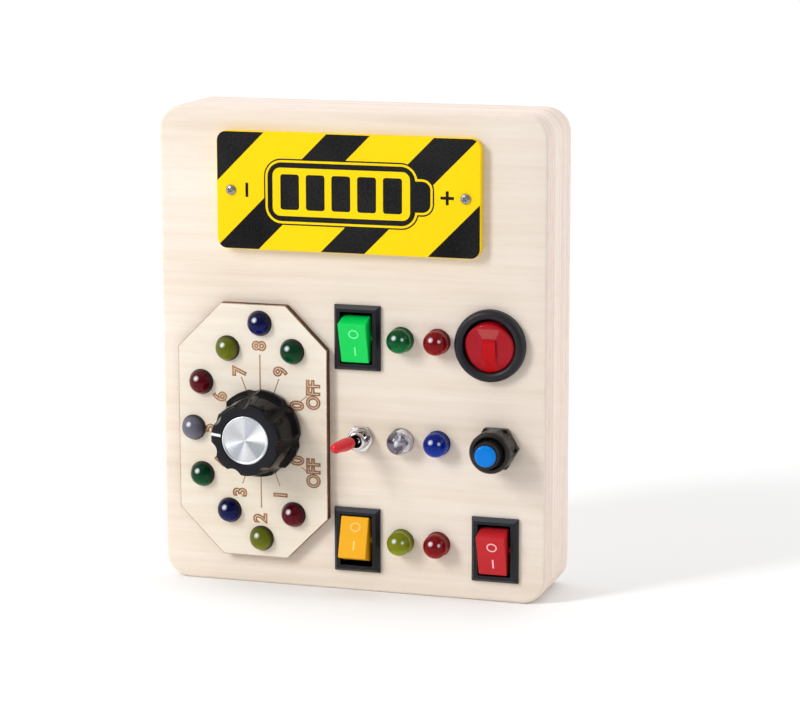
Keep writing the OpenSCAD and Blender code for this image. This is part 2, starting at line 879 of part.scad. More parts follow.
module button_spring() {
    foot_z = -button_depth + 2;
    color("silver") upright() at(button_at, foot_z) {
        helix(spring_r, spring_wire_r, cap_foot_z - foot_z, spring_turns);
    }
}

module button_terminals() {
    color("goldenrod") upright() at(button_at, -button_depth) {
        for (sx = [-1, 1]) translate([sx * 3 - 0.3, -1.2, -5]) cube([0.6, 2.4, 5]);
    }
}

// ---------- Lamps ----------

module lamp() {
    rotate_extrude() {
        translate([0, inner_z - lamp_flange_t]) square([lamp_flange_r, lamp_flange_t]);
        translate([0, inner_z - EPS]) square([lamp_r, lamp_top - lamp_r - inner_z + EPS]);
        intersection() {
            translate([0, lamp_top - lamp_r]) circle(lamp_r);
            translate([0, lamp_top - lamp_r - EPS]) square(lamp_r + EPS);
        }
    }
}

module red_lamps() {
    color("darkred") upright() for (place = red_lamp_places) at(place) lamp();
}

module green_lamps() {
    color("darkgreen") upright() for (place = green_lamp_places) at(place) lamp();
}

module blue_lamps() {
    color("navy") upright() for (place = blue_lamp_places) at(place) lamp();
}

module yellow_lamps() {
    color("olive") upright() for (place = yellow_lamp_places) at(place) lamp();
}

module clear_lamps() {
    color("lightgray") upright() for (place = clear_lamp_places) at(place) lamp();
}

module lamp_leads() {
    color("silver") upright() for (place = lamp_places, sx = [-1, 1]) {
        at(place, inner_z - lamp_flange_t - lead_len / 2) translate([sx * lead_pitch / 2, 0, 0]) {
            cube([lead_side, lead_side, lead_len], center = true);
        }
    }
}

// ---------- Battery bay in the back ----------

module in_bay() {
    translate([0, bay_y, 0]) children();
}

module battery_tray() {
    flange = 3.5;
    depth = tray_floor_z + bay_wall - tray_back_z;
    color([0.15, 0.15, 0.16]) upright() in_bay() difference() {
        union() {
            translate([tray_x - tray_w / 2, -tray_h / 2, tray_back_z]) cube([tray_w, tray_h, depth]);
            translate([tray_x - tray_w / 2 - flange, -tray_h / 2 - flange, back_z + back_t]) {
                cube([tray_w + 2 * flange, tray_h + 2 * flange, 1.4]);
            }
        }
        translate([-bay_w / 2, -bay_h / 2, tray_back_z - 1]) {
            cube([bay_w, bay_h, tray_floor_z - tray_back_z + 1]);
        }
        translate([-boss_x, 0, tray_back_z - EPS]) cylinder(r = 1.15, h = 8);
    }
}

module cell() {
    rotate([0, 90, 0]) {
        translate([0, 0, -cell_len / 2]) cylinder(r = cell_r, h = cell_len - 1);
        translate([0, 0, cell_len / 2 - 1 - EPS]) cylinder(r = 1.9, h = 1);
    }
}

// Neighbouring cells lie head to tail, each pressed by its spring against a flat plate.
module battery_cells() {
    color("seagreen") upright() in_bay() for (i = [0 : 2]) {
        translate([0, cell_rows[i], cells_z]) rotate([0, 0, i % 2 == 0 ? 0 : 180]) {
            translate([cell_shift, 0, 0]) cell();
        }
    }
}

module battery_springs() {
    spring_len = bay_w - 0.8 - cell_len;
    color("silver") upright() in_bay() for (i = [0 : 2]) {
        translate([0, cell_rows[i], cells_z]) rotate([0, 0, i % 2 == 0 ? 0 : 180]) {
            translate([-bay_w / 2 + 0.4, 0, 0]) rotate([0, 90, 0]) helix(2.9, 0.4, spring_len, 3);
        }
    }
}

module battery_contacts() {
    color("silver") upright() in_bay() for (i = [0 : 2], sx = [-1, 1]) {
        translate([sx * (bay_w / 2 - 0.2), cell_rows[i], cells_z]) cube([0.4, 8, 9], center = true);
    }
}

module cover_screw_space(gap) {
    translate([-boss_x, 0, back_z]) {
        cylinder(r = 2.3 + gap, h = 1.2);
        cylinder(r = 1.1 + gap, h = cover_t + 1);
    }
}

module battery_cover() {
    color([0.15, 0.15, 0.16]) upright() in_bay() difference() {
        translate([tray_x, 0, back_z]) linear_extrude(cover_t) {
            rounded_rect(tray_w - 2 * cover_gap, tray_h - 2 * cover_gap, 1);
        }
        cover_screw_space(0.1);
        for (i = [-2 : 2]) {
            translate([tray_x + 24, i * 3.2, back_z]) cube([9, 1.2, 1.2], center = true);
        }
    }
}

module battery_cover_screw() {
    color("silver") upright() in_bay() translate([-boss_x, 0, back_z]) difference() {
        union() {
            cylinder(r = 2.3, h = 1.2);
            cylinder(r = 1.1, h = 7);
        }
        rotate([0, 0, 30]) cross_recess(2.6, 0.7);
    }
}

front_panel();
front_frame_ring();
rear_frame_ring();
back_panel();
back_screws();
sign_plate();
sign_screws();
dial_plate();
knob();
knob_disc();
knob_pointer();
knob_set_screw();
rotary_shaft();
rotary_body();
rotary_nut();
rotary_terminals();
green_switch_housing();
green_rocker();
green_switch_terminals();
yellow_switch_housing();
yellow_rocker();
yellow_switch_terminals();
red_switch_housing();
red_rocker();
red_switch_terminals();
round_switch_housing();
round_rocker();
round_switch_terminals();
toggle_body();
toggle_bushing();
toggle_nut();
toggle_lever();
toggle_sleeve();
toggle_terminals();
button_housing();
button_nut();
button_plunger();
button_cap();
button_spring();
button_terminals();
red_lamps();
green_lamps();
blue_lamps();
yellow_lamps();
clear_lamps();
lamp_leads();
battery_tray();
battery_cells();
battery_springs();
battery_contacts();
battery_cover();
battery_cover_screw();
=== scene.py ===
import json
import math

import bmesh
import bpy
from mathutils import Matrix, Vector


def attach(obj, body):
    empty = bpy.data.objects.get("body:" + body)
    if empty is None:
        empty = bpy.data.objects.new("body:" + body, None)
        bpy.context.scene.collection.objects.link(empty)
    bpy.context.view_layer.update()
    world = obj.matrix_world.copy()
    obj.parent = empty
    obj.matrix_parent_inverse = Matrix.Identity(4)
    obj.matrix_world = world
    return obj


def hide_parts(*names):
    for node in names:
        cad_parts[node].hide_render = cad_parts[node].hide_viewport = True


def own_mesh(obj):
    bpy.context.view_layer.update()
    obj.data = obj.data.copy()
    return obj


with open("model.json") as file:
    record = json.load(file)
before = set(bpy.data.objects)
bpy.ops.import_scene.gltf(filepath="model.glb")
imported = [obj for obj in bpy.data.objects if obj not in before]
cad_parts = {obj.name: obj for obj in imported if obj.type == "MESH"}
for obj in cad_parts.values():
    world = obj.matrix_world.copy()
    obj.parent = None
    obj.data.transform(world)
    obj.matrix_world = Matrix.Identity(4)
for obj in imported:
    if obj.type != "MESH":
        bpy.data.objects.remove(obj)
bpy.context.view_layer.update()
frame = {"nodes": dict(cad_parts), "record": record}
nodes = frame["nodes"]
bodies = {n: b for b, ns in frame["record"]["behaviour"]["bodies"].items() for n in ns}

# Shapes on the panel are drawn lying down, in millimetres: x to the right, y up the panel, z out of it.
PANEL = Matrix(
    ((0.001, 0, 0, 0), (0, 0, -0.001, -0.015), (0, 0.001, 0, 0), (0, 0, 0, 1))
)

# Sizes and places, as in part.scad.
DIAL = (-30.0, 51.7)
DIAL_MIDDLE = (-32.75, 51.7)
DIAL_T = 3.0
DIAL_HALF_W, DIAL_HALF_H, DIAL_CUT = 25.6, 41.85, 15.0
SIGN_Y, SIGN_T = 130.5, 3.0
SIGN_PRINT_W, SIGN_PRINT_H = 43.86, 18.86
STRIPES, STRIPE_FIRST, STRIPE_PITCH, STRIPE_WIDTH = 4, -61.4, 35.7, 14.6
GAUGE_X, GAUGE_W, GAUGE_H = -2, 46, 15.5
KNOB_BASE, KNOB_TOP = 4.0, 17.8
SKIRT_R, LOBE_R = 14.4, 11.7
FLUTE_R, FLUTE_BOTTOM, FLUTE_END, FLUTES = 3.5, 10.4, 8.5, 7
POINTER = 172.5
LAMP_R, LAMP_TOP = 4.0, 6.9
ROUND_AT, ROUND_PIVOT, ROUND_TILT = (46.8, 83.8), -1.2, 10.0
TOGGLE_AT = (3.4, 50.9)
LEVER_TILT, LEVER_LEN = 12.5, 15.9
BUTTON_AT = (48.9, 50.8)
ROCKER_TILT, ROCKER_PIVOT = 16.5, -1.0
ROCKERS = {
    "green": ((2.5, 84.0), ROCKER_TILT),
    "yellow": ((2.2, 17.3), -ROCKER_TILT),
    "red": ((48.6, 17.3), ROCKER_TILT),
}
COLUMNS, ROWS = (17.1, 29.3), (84.0, 50.9, 17.6)


def on_dial(x, y):
    return (DIAL[0] + x, DIAL[1] + y)


DIAL_LAMPS = {
    "red": [on_dial(-20.4, 15.4), on_dial(11.1, -27)],
    "green": [on_dial(11.1, 27), on_dial(-20.4, -15.4)],
    "blue": [on_dial(0, 35.7), on_dial(-11.1, -27)],
    "yellow": [on_dial(-11.1, 27), on_dial(0, -35.7)],
    "clear": [on_dial(-23.2, 0)],
}
PANEL_LAMPS = {
    "red": [(COLUMNS[1], ROWS[0]), (COLUMNS[1], ROWS[2])],
    "green": [(COLUMNS[0], ROWS[0])],
    "blue": [(COLUMNS[1], ROWS[1])],
    "yellow": [(COLUMNS[0], ROWS[2])],
    "clear": [(COLUMNS[0], ROWS[1])],
}


# ---------- Materials ----------


def srgb(r, g, b):
    """A colour given in 0 to 255, as Blender's linear colour."""

    def linear(c):
        c /= 255
        return c / 12.92 if c <= 0.04045 else ((c + 0.055) / 1.055) ** 2.4

    return (linear(r), linear(g), linear(b), 1.0)


def add(tree, kind, inputs=None, **settings):
    node = tree.nodes.new("ShaderNode" + kind)
    for key, value in settings.items():
        setattr(node, key, value)
    for key, value in (inputs or {}).items():
        if isinstance(value, bpy.types.NodeSocket):
            tree.links.new(value, node.inputs[key])
        else:
            node.inputs[key].default_value = value
    return node


def math_node(tree, operation, *values, clamp=False):
    return add(
        tree, "Math", dict(enumerate(values)), operation=operation, use_clamp=clamp
    ).outputs[0]


def weighted(tree, a, share_a, b, share_b):
    """Two values added, each times its share."""
    parts = [math_node(tree, "MULTIPLY", value, share) for value, share in ((a, share_a), (b, share_b))]
    return math_node(tree, "ADD", *parts)


def facing(tree, normal, way):
    """How far a surface faces a direction, from -1 to 1."""
    return add(tree, "VectorMath", {0: normal, 1: way}, operation="DOT_PRODUCT").outputs["Value"]


def part_of(tree, vector, axis):
    return add(tree, "SeparateXYZ", {0: vector}).outputs[axis]


def outward_part(tree, normal):
    """How far a direction or place is out of the panel's front."""
    return math_node(tree, "MULTIPLY", part_of(tree, normal, "Y"), -1.0)


def noise(tree, place, scale, detail=3.0, roughness=0.55, distortion=0.0):
    """Noise from 0 to 1 whose lumps are 1 / scale metres across along each axis."""
    mapped = add(tree, "Mapping", {"Vector": place, "Scale": scale})
    made = add(
        tree,
        "TexNoise",
        {
            "Vector": mapped.outputs[0],
            "Scale": 1.0,
            "Detail": detail,
            "Roughness": roughness,
            "Distortion": distortion,
        },
    )
    return made.outputs["Fac"]


def ramp(tree, value, stops, smooth=False):
    node = add(tree, "ValToRGB", {"Fac": value})
    if smooth:
        node.color_ramp.interpolation = "EASE"
    elements = node.color_ramp.elements
    while len(elements) < len(stops):
        elements.new(0.5)
    for element, (position, colour) in zip(elements, stops):
        element.position = position
        element.color = colour if len(colour) == 4 else (*colour, 1.0)
    return node.outputs["Color"]


def spread(tree, value, low, high, start=0.3, end=0.7):
    node = add(
        tree,
        "MapRange",
        {"Value": value, "From Min": start, "From Max": end, "To Min": low, "To Max": high},
    )
    return node.outputs["Result"]


def mix(tree, factor, a, b, blend="MIX"):
    node = add(tree, "Mix", data_type="RGBA", blend_type=blend)
    for index, value in ((0, factor), (6, a), (7, b)):
        if isinstance(value, bpy.types.NodeSocket):
            tree.links.new(value, node.inputs[index])
        else:
            node.inputs[index].default_value = value
    return node.outputs[2]


def start(name):
    material = bpy.data.materials.new(name)
    material.use_nodes = True
    tree = material.node_tree
    shader = tree.nodes["Principled BSDF"]
    place = add(tree, "TexCoord").outputs["Object"]
    return material, tree, shader, place


def set_sockets(shader, **sockets):
    for key, value in sockets.items():
        shader.inputs[key.replace("_", " ")].default_value = value


def bump(tree, shader, height, depth, strength=1.0):
    node = add(
        tree, "Bump", {"Height": height, "Distance": depth, "Strength": strength}
    )
    tree.links.new(node.outputs["Normal"], shader.inputs["Normal"])


def moulded(name, colour, roughness, grain=1200, depth=0.000006, tint=0.08, shine=0.22, **sockets):
    """Plastic, paint or metal with a little drift of colour, uneven gloss and a fine relief."""
    material, tree, shader, place = start(name)
    broad = noise(tree, place, (90,) * 3, 2)
    fine = noise(tree, place, (grain,) * 3, 4)
    dark = tuple(c * (1 - tint) for c in colour[:3])
    light = tuple(min(1.0, c * (1 + tint) + 0.002) for c in colour[:3])
    tone = ramp(tree, broad, [(0.3, dark), (0.7, light)])
    tree.links.new(tone, shader.inputs["Base Color"])
    drift = 0.18 if depth else 0.04
    gloss = spread(tree, fine, roughness * (1 - drift), roughness * (1 + drift))
    tree.links.new(gloss, shader.inputs["Roughness"])
    if depth:
        bump(tree, shader, fine, depth)
    set_sockets(shader, Specular_IOR_Level=shine, **sockets)
    return material


def wood(name, face_tones, edge_tones, plies):
    """Plywood: a face veneer with faint streaks along X, and edges that show the plies along Y."""
    material, tree, shader, place = start(name)
    normal = add(tree, "TexCoord").outputs["Normal"]
    frontal = spread(tree, math_node(tree, "ABSOLUTE", part_of(tree, normal, "Y")), 0, 1, 0.6, 0.8)
    broad = noise(tree, place, (5, 9, 26), 3, 0.5, 0.6)
    streaks = noise(tree, place, (14, 120, 330), 5, 0.62, 0.35)
    fibres = noise(tree, place, (90, 2600, 2600), 3, 0.6)
    face = ramp(tree, weighted(tree, broad, 0.5, streaks, 0.5), list(zip((0.36, 0.5, 0.62), face_tones)))
    pores = ramp(tree, fibres, [(0.28, (0.9, 0.87, 0.83)), (0.42, (1, 1, 1))])
    face = mix(tree, 0.55, face, mix(tree, 1.0, face, pores, "MULTIPLY"))
    # Painted shade: the board is a little darker towards its upper right, where less of the light falls.
    drift = weighted(tree, part_of(tree, place, "X"), 1.0, part_of(tree, place, "Z"), 0.7)
    painted_shade = mix(tree, 1.0, face, (0.95, 0.95, 0.96, 1), "MULTIPLY")
    face = mix(tree, spread(tree, drift, 0.0, 1.0, 0.02, 0.13), face, painted_shade)
    bands = noise(tree, place, (3, plies, 3), 2, 0.4, 0.15)
    grain = noise(tree, place, (240, 900, 240), 3, 0.6)
    edge = ramp(tree, bands, list(zip((0.36, 0.47, 0.6), edge_tones)))
    specks = ramp(tree, grain, [(0.3, (0.93, 0.9, 0.88)), (0.55, (1, 1, 1))])
    edge = mix(tree, 1.0, edge, specks, "MULTIPLY")
    tree.links.new(mix(tree, frontal, edge, face), shader.inputs["Base Color"])
    tree.links.new(spread(tree, streaks, 0.5, 0.66), shader.inputs["Roughness"])
    bump(tree, shader, weighted(tree, fibres, 0.6, streaks, 0.4), 0.00006, 0.6)
    set_sockets(shader, Specular_IOR_Level=0.35)
    return material


def charred(name, dark, light):
    """Laser-cut edge: brown char with soot streaks down the cut."""
    material, tree, shader, place = start(name)
    streaks = noise(tree, place, (900, 60, 900), 4, 0.6)
    patches = noise(tree, place, (70, 70, 70), 2)
    both = weighted(tree, streaks, 0.5, patches, 0.5)
    tree.links.new(ramp(tree, both, [(0.38, dark), (0.62, light)]), shader.inputs["Base Color"])
    tree.links.new(spread(tree, streaks, 0.55, 0.8), shader.inputs["Roughness"])
    bump(tree, shader, streaks, 0.00008)
    return material


def printed(name, colour, weave=0.0):
    """Ink on the sign: a satin coat, with the dark ink's faint mottle."""
    material, tree, shader, place = start(name)
    mottle = noise(tree, place, (1500, 1500, 1500), 3, 0.7)
    drift = noise(tree, place, (40, 40, 40), 2)
    low = tuple(c * 0.95 for c in colour[:3])
    high = tuple(min(1.0, c * 1.05 + weave * 0.02) for c in colour[:3])
    both = weighted(tree, mottle, 0.6, drift, 0.4)
    tree.links.new(ramp(tree, both, [(0.35, low), (0.65, high)]), shader.inputs["Base Color"])
    tree.links.new(spread(tree, mottle, 0.5, 0.66), shader.inputs["Roughness"])
    bump(tree, shader, mottle, 0.00002 + 0.00004 * weave)
    set_sockets(shader, Specular_IOR_Level=0.06)
    return material


def brushed(name, colour, roughness, scale, depth=0.00001, **sockets):
    """Metal with fine drawn lines."""
    material, tree, shader, place = start(name)
    lines = noise(tree, place, scale, 4, 0.7)
    tree.links.new(
        ramp(tree, lines, [(0.3, tuple(c * 0.92 for c in colour[:3])), (0.7, colour)]),
        shader.inputs["Base Color"],
    )
    tree.links.new(spread(tree, lines, roughness * 0.75, roughness * 1.25), shader.inputs["Roughness"])
    if depth:
        bump(tree, shader, lines, depth)
    set_sockets(shader, Metallic=1.0, **sockets)
    return material


def spun(name):
    """Aluminium turned on a lathe: circular lines that gather the light into wedges, with bright and dark wedges also
    painted into its colour as painted reflection.
    """
    material, tree, shader, place = start(name)
    radius = add(tree, "VectorMath", {0: place}, operation="LENGTH").outputs["Value"]
    pitch = {"W": math_node(tree, "MULTIPLY", radius, 6500.0), "Scale": 1.0, "Detail": 2.0}
    rings = add(tree, "TexNoise", pitch, noise_dimensions="1D").outputs["Fac"]
    lines = ramp(tree, rings, [(0.3, (0.7, 0.71, 0.74)), (0.7, (0.86, 0.87, 0.89))])
    # Painted reflection: bright and dark wedges round the middle, set by angle into the base colour.
    angle = math_node(tree, "ARCTAN2", part_of(tree, place, "Y"), part_of(tree, place, "X"))
    glare_wave = math_node(tree, "SINE", math_node(tree, "ADD", math_node(tree, "MULTIPLY", angle, 4.0), 0.7))
    glare_wave = math_node(tree, "ADD", glare_wave, math_node(tree, "SINE", math_node(tree, "MULTIPLY", angle, 3.0)))
    tones = [(0.3, (0.62, 0.64, 0.68)), (0.5, (0.86, 0.87, 0.89)), (0.75, (1, 1, 1))]
    wedges = ramp(tree, spread(tree, glare_wave, 0, 1, -1.6, 1.6), tones)
    tree.links.new(mix(tree, 1.0, lines, wedges, "MULTIPLY"), shader.inputs["Base Color"])
    tree.links.new(spread(tree, rings, 0.26, 0.36), shader.inputs["Roughness"])
    tangent = add(tree, "Tangent", direction_type="RADIAL", axis="Z")
    tree.links.new(tangent.outputs[0], shader.inputs["Tangent"])
    bump(tree, shader, rings, 0.00001, 0.5)
    set_sockets(shader, Metallic=1.0, Anisotropic=0.92)
    return material


def lamp_glass(name, deep, bright, glow, on_panel):
    """Tinted lamp body with light and shade painted into its colour: deep above, painted brighter below where the
    light gathers, with painted glints.

    The panel's lamps have a second painted glint and a painted pale line of light by the foot; those on the dial have
    a painted dark shade at the foot.
    """
    material, tree, shader, place = start(name)
    normal = add(tree, "TexCoord").outputs["Normal"]
    swirl = noise(tree, place, (260, 260, 260), 3)
    # Painted light: the body is deep above and brighter below, by the way the surface faces.
    value = weighted(tree, facing(tree, normal, (0.25, 0.0, -0.97)), 1.0, swirl, 0.25)
    between = tuple(d * 0.75 + b * 0.25 for d, b in zip(deep, bright))
    body = ramp(tree, spread(tree, value, 0, 1, -0.9, 1.05), [(0.3, deep), (0.62, between), (0.86, bright)], True)
    outward = outward_part(tree, normal)
    # Each painted glint, a painted highlight: the direction it faces, its strength, and where it starts and is full.
    glints = [((-0.155, -0.904, 0.397), 0.7, 0.968 if on_panel else 0.962, 0.998)]
    if on_panel:
        # Painted light: a pale line round the foot of the panel's lamps.
        foot = ramp(tree, outward, [(0.03, (0, 0, 0)), (0.1, (0.6, 0.6, 0.6)), (0.2, (0, 0, 0))], True)
        tone = mix(tree, foot, body, glow)
        glints.append(((0.533, -0.795, 0.288), 0.6, 0.985, 0.999))
    else:
        # Painted shade: the dial's lamps turn dark near the foot.
        tone = mix(tree, spread(tree, outward, 0.9, 0.0, 0.26, 0.56), body, tuple(0.12 * d for d in deep))
    for way, strength, outer, inner in glints:
        patch = spread(tree, facing(tree, normal, way), 0, strength, outer, inner)
        tone = mix(tree, patch, tone, (0.8, 0.84, 0.9, 1))
    tree.links.new(tone, shader.inputs["Base Color"])
    tree.links.new(spread(tree, outward, 0.5, 0.05, 0.01, 0.1), shader.inputs["Roughness"])
    bump(tree, shader, swirl, 0.000004)
    set_sockets(shader, IOR=1.5, Specular_IOR_Level=0.16)
    return material


def clear_glass(name, middle_x):
    """Water-clear lamp with its light and shade painted into its colour: its left half shows the dark metal inside,
    painted deep where the surface faces a little upward and paler elsewhere; its right half painted bright folds of
    light, with a painted pale rim by the foot.
    """
    material, tree, shader, place = start(name)
    normal = add(tree, "TexCoord").outputs["Normal"]
    swirl = noise(tree, place, (420, 420, 420), 3, 0.6, 1.2)
    shift = math_node(tree, "SUBTRACT", part_of(tree, place, "X"), middle_x - 0.0004)
    side = spread(tree, shift, 0, 1, -0.00015, 0.00015)
    # Painted light: bright folds of light in the right half.
    folds = noise(tree, place, (380, 380, 260), 2, 0.5, 1.2)
    light = ramp(tree, folds, [(0.36, srgb(84, 80, 94)), (0.5, srgb(158, 154, 166)), (0.66, srgb(236, 232, 238))])
    # Painted shade: the left half is deep where the surface faces a little upward and paler elsewhere.
    height = part_of(tree, normal, "Z")
    shade = ramp(tree, height, [(0.0, srgb(104, 98, 112)), (0.25, srgb(22, 20, 28)), (0.6, srgb(90, 86, 98))])
    tone = mix(tree, side, shade, light)
    # Painted light: a pale rim by the foot on the right half.
    pale = [(0.02, (0.5, 0.5, 0.5)), (0.2, (0.8, 0.8, 0.8)), (0.34, (0, 0, 0))]
    rim = ramp(tree, outward_part(tree, normal), pale, True)
    rim = math_node(tree, "MULTIPLY", rim, side)
    tree.links.new(mix(tree, rim, tone, srgb(238, 232, 236)), shader.inputs["Base Color"])
    tree.links.new(spread(tree, swirl, 0.03, 0.07), shader.inputs["Roughness"])
    bump(tree, shader, swirl, 0.00001)
    set_sockets(shader, IOR=1.5, Specular_IOR_Level=0.45)
    return material


def make_materials():
    made = {}
    cream = [srgb(229, 213, 194), srgb(237, 223, 208), srgb(241, 230, 217)]
    pink = [srgb(224, 204, 193), srgb(234, 216, 203), srgb(238, 224, 213)]
    made["front_ply"] = wood("birch_face", cream, pink, 620)
    made["edge_ply"] = wood("birch_edge", cream, pink, 760)
    dial = [srgb(231, 217, 197), srgb(237, 226, 210), srgb(240, 231, 218)]
    made["dial_ply"] = wood("dial_face", dial, pink, 900)
    made["char"] = charred("laser_edge", srgb(58, 32, 16), srgb(104, 66, 38))
    made["scorch"] = charred("laser_scorch", srgb(150, 108, 70), srgb(206, 170, 132))
    # A dark brown for the painted shade in the gap round each lamp's hole on the dial.
    made["hole_gap_shade"] = charred("hole_gap_shade", srgb(48, 34, 26), srgb(96, 68, 48))
    made["engraved"] = charred("engraved_mark", srgb(136, 86, 44), srgb(192, 140, 90))
    made["tick"] = charred("engraved_tick", srgb(150, 104, 62), srgb(192, 146, 100))
    made["sign_print"] = printed("sign_yellow", srgb(252, 214, 18))
    made["sign_black"] = printed("sign_black", srgb(12, 10, 12), 1.0)
    made["screw_steel"] = brushed("screw_steel", (0.34, 0.34, 0.35), 0.3, (900, 900, 900))
    made["chrome"] = brushed("toggle_chrome", (0.66, 0.64, 0.64), 0.05, (700, 700, 700), 0.0)
    made["brass"] = brushed("solder_brass", (0.78, 0.57, 0.25), 0.3, (400, 400, 2500))
    made["spring_steel"] = brushed("spring_steel", (0.55, 0.56, 0.58), 0.25, (800, 800, 800))
    made["knob_black"] = moulded("knob_black", (0.003, 0.0027, 0.004), 0.06, 700, 0.000002, shine=0.09)
    made["knob_face"] = moulded("knob_face", (0.01, 0.01, 0.014), 0.36, 2600, 0.00001, shine=0.16)
    made["spun_aluminium"] = spun("spun_aluminium")
    made["pointer_white"] = moulded("pointer_white", (0.85, 0.85, 0.84), 0.45)
    made["switch_black"] = moulded("switch_black", (0.007, 0.008, 0.012), 0.36, 2600, 0.00001, shine=0.25)
    # A lighter copy of the black for the bezels' upper bevels: a painted sheen.
    made["switch_bevel_sheen"] = moulded("switch_bevel_sheen", (0.05, 0.055, 0.066), 0.36, 2600, 0.00001, shine=0.3)
    made["ring_black"] = moulded("ring_black", (0.014, 0.014, 0.018), 0.4, 3000, 0.00001)
    made["button_black"] = moulded("button_black", (0.01, 0.008, 0.007), 0.32, 3000, 0.000006, shine=0.3)
    made["rocker_green"] = moulded("rocker_green", (0.0, 0.66, 0.1), 0.3, 1500, 0, 0.02)
    made["rocker_yellow"] = moulded("rocker_yellow", (0.88, 0.42, 0.012), 0.3, 1500, 0, 0.02)
    made["rocker_red"] = moulded("rocker_red", (0.53, 0.016, 0.022), 0.3, 1500, 0, 0.02)
    made["mark_green"] = moulded("mark_green", srgb(120, 245, 170), 0.4)
    made["mark_yellow"] = moulded("mark_yellow", srgb(253, 204, 120), 0.4)
    made["mark_red"] = moulded("mark_red", srgb(240, 190, 194), 0.4)
    made["lens_red"] = moulded("lens_red", (0.38, 0.004, 0.012), 0.08, 300, 0.000004, 0.1, shine=0.16)
    made["lens_rib"] = moulded("lens_rib", (0.48, 0.0, 0.003), 0.06, 300, 0.000004, 0.1, shine=0.12)
    # A pale red for a painted reflection on the round lens, above its rib.
    made["lens_painted_reflection"] = moulded("lens_painted_pale", (0.42, 0.05, 0.045), 0.08, 300, 0)
    made["sleeve_red"] = moulded("sleeve_red", (0.62, 0.012, 0.022), 0.26, 800, 0, 0.03, shine=0.35)
    made["toggle_blue"] = moulded("toggle_blue", (0.02, 0.08, 0.35), 0.4)
    made["cap_blue"] = moulded("cap_blue", (0.0, 0.19, 0.67), 0.14, 1200, 0, 0.03, shine=0.14)
    made["bay_black"] = moulded("bay_black", (0.02, 0.02, 0.022), 0.5, 3000, 0.00003)
    made["cell_wrap"] = moulded("cell_wrap", (0.05, 0.3, 0.12), 0.28, 400, 0.00001, 0.1)
    # Each lamp's tones: deep above, a painted lit tone below, and painted light by the foot, which only the panel's
    # lamps use.
    tints = {
        "red": (srgb(78, 0, 14), srgb(102, 8, 26), srgb(140, 44, 54)),
        "green": (srgb(0, 46, 24), srgb(0, 82, 42), srgb(50, 130, 80)),
        "blue": (srgb(4, 10, 56), srgb(10, 24, 96), srgb(60, 84, 150)),
        "yellow": (srgb(88, 94, 10), srgb(122, 128, 26), srgb(160, 162, 80)),
        "clear": (srgb(96, 95, 108), srgb(118, 118, 132), srgb(150, 150, 162)),
        "panel_red": (srgb(112, 0, 4), srgb(146, 8, 18), srgb(200, 84, 82)),
        "panel_green": (srgb(0, 66, 30), srgb(0, 116, 56), srgb(70, 178, 104)),
        "panel_blue": (srgb(0, 22, 112), srgb(12, 60, 168), srgb(82, 120, 200)),
        "panel_yellow": (srgb(108, 114, 6), srgb(146, 154, 26), srgb(206, 208, 120)),
    }
    for colour, tones in tints.items():
        made["lamp_" + colour] = lamp_glass("lamp_" + colour, *tones, colour.startswith("panel_"))
    made["lamp_water_clear"] = clear_glass("lamp_water_clear", COLUMNS[0] / 1000)
    return made


paints = make_materials()


# ---------- Shapes ----------


def moved(x=0.0, y=0.0, z=0.0):
    return Matrix.Translation((x, y, z))


def turned(degrees, axis="Z"):
    return Matrix.Rotation(math.radians(degrees), 4, axis)


def around(sides):
    """Evenly spaced angles of one full turn."""
    return [2 * math.pi * i / sides for i in range(sides)]


def arc(x, y, r, start_deg, end_deg, steps):
    """Points on an arc, from one angle to the other."""
    angles = [
        math.radians(start_deg + (end_deg - start_deg) * i / steps)
        for i in range(steps + 1)
    ]
    return [(x + r * math.cos(a), y + r * math.sin(a)) for a in angles]


def lathe(profile, sides=72):
    """A closed or open profile of (radius, height) turned about the height axis."""
    verts, faces, rings = [], [], []
    for r, z in profile:
        if r < 1e-6:
            rings.append([len(verts)] * sides)
            verts.append((0, 0, z))
            continue
        rings.append([len(verts) + i for i in range(sides)])
        verts += [(r * math.cos(a), r * math.sin(a), z) for a in around(sides)]
    for a, b in zip(rings, rings[1:]):
        for i in range(sides):
            j = (i + 1) % sides
            corners = list(dict.fromkeys((a[i], a[j], b[j], b[i])))
            if len(corners) > 2:
                faces.append(corners)
    return verts, faces


def prism(points, z0, z1):
    """A flat outline with a thickness."""
    n = len(points)
    verts = [(x, y, z0) for x, y in points] + [(x, y, z1) for x, y in points]
    faces = [list(range(n))[::-1], list(range(n, 2 * n))]
    faces += [[i, (i + 1) % n, n + (i + 1) % n, n + i] for i in range(n)]
    return verts, faces


def ribbon(points, width, z0, z1, closed=False):
    """A stroke of constant width along a line of points."""
    n = len(points)
    left, right = [], []
    for i, (x, y) in enumerate(points):
        before = points[(i - 1) % n] if closed or i else points[i]
        after = points[(i + 1) % n] if closed or i < n - 1 else points[i]
        dx, dy = after[0] - before[0], after[1] - before[1]
        length = math.hypot(dx, dy) or 1.0
        ox, oy = -dy / length * width / 2, dx / length * width / 2
        left.append((x + ox, y + oy))
        right.append((x - ox, y - oy))
    verts = [(x, y, z) for z in (z0, z1) for x, y in left + right]
    faces = []
    for i in range(n if closed else n - 1):
        j = (i + 1) % n
        a, b, c, d = i, j, n + j, n + i
        faces += [[a, b, c, d], [2 * n + d, 2 * n + c, 2 * n + b, 2 * n + a]]
        faces += [[b, a, 2 * n + a, 2 * n + b], [d, c, 2 * n + c, 2 * n + d]]
    if not closed:
        for i in (0, n - 1):
            faces.append([i, n + i, 3 * n + i, 2 * n + i])
    return verts, faces


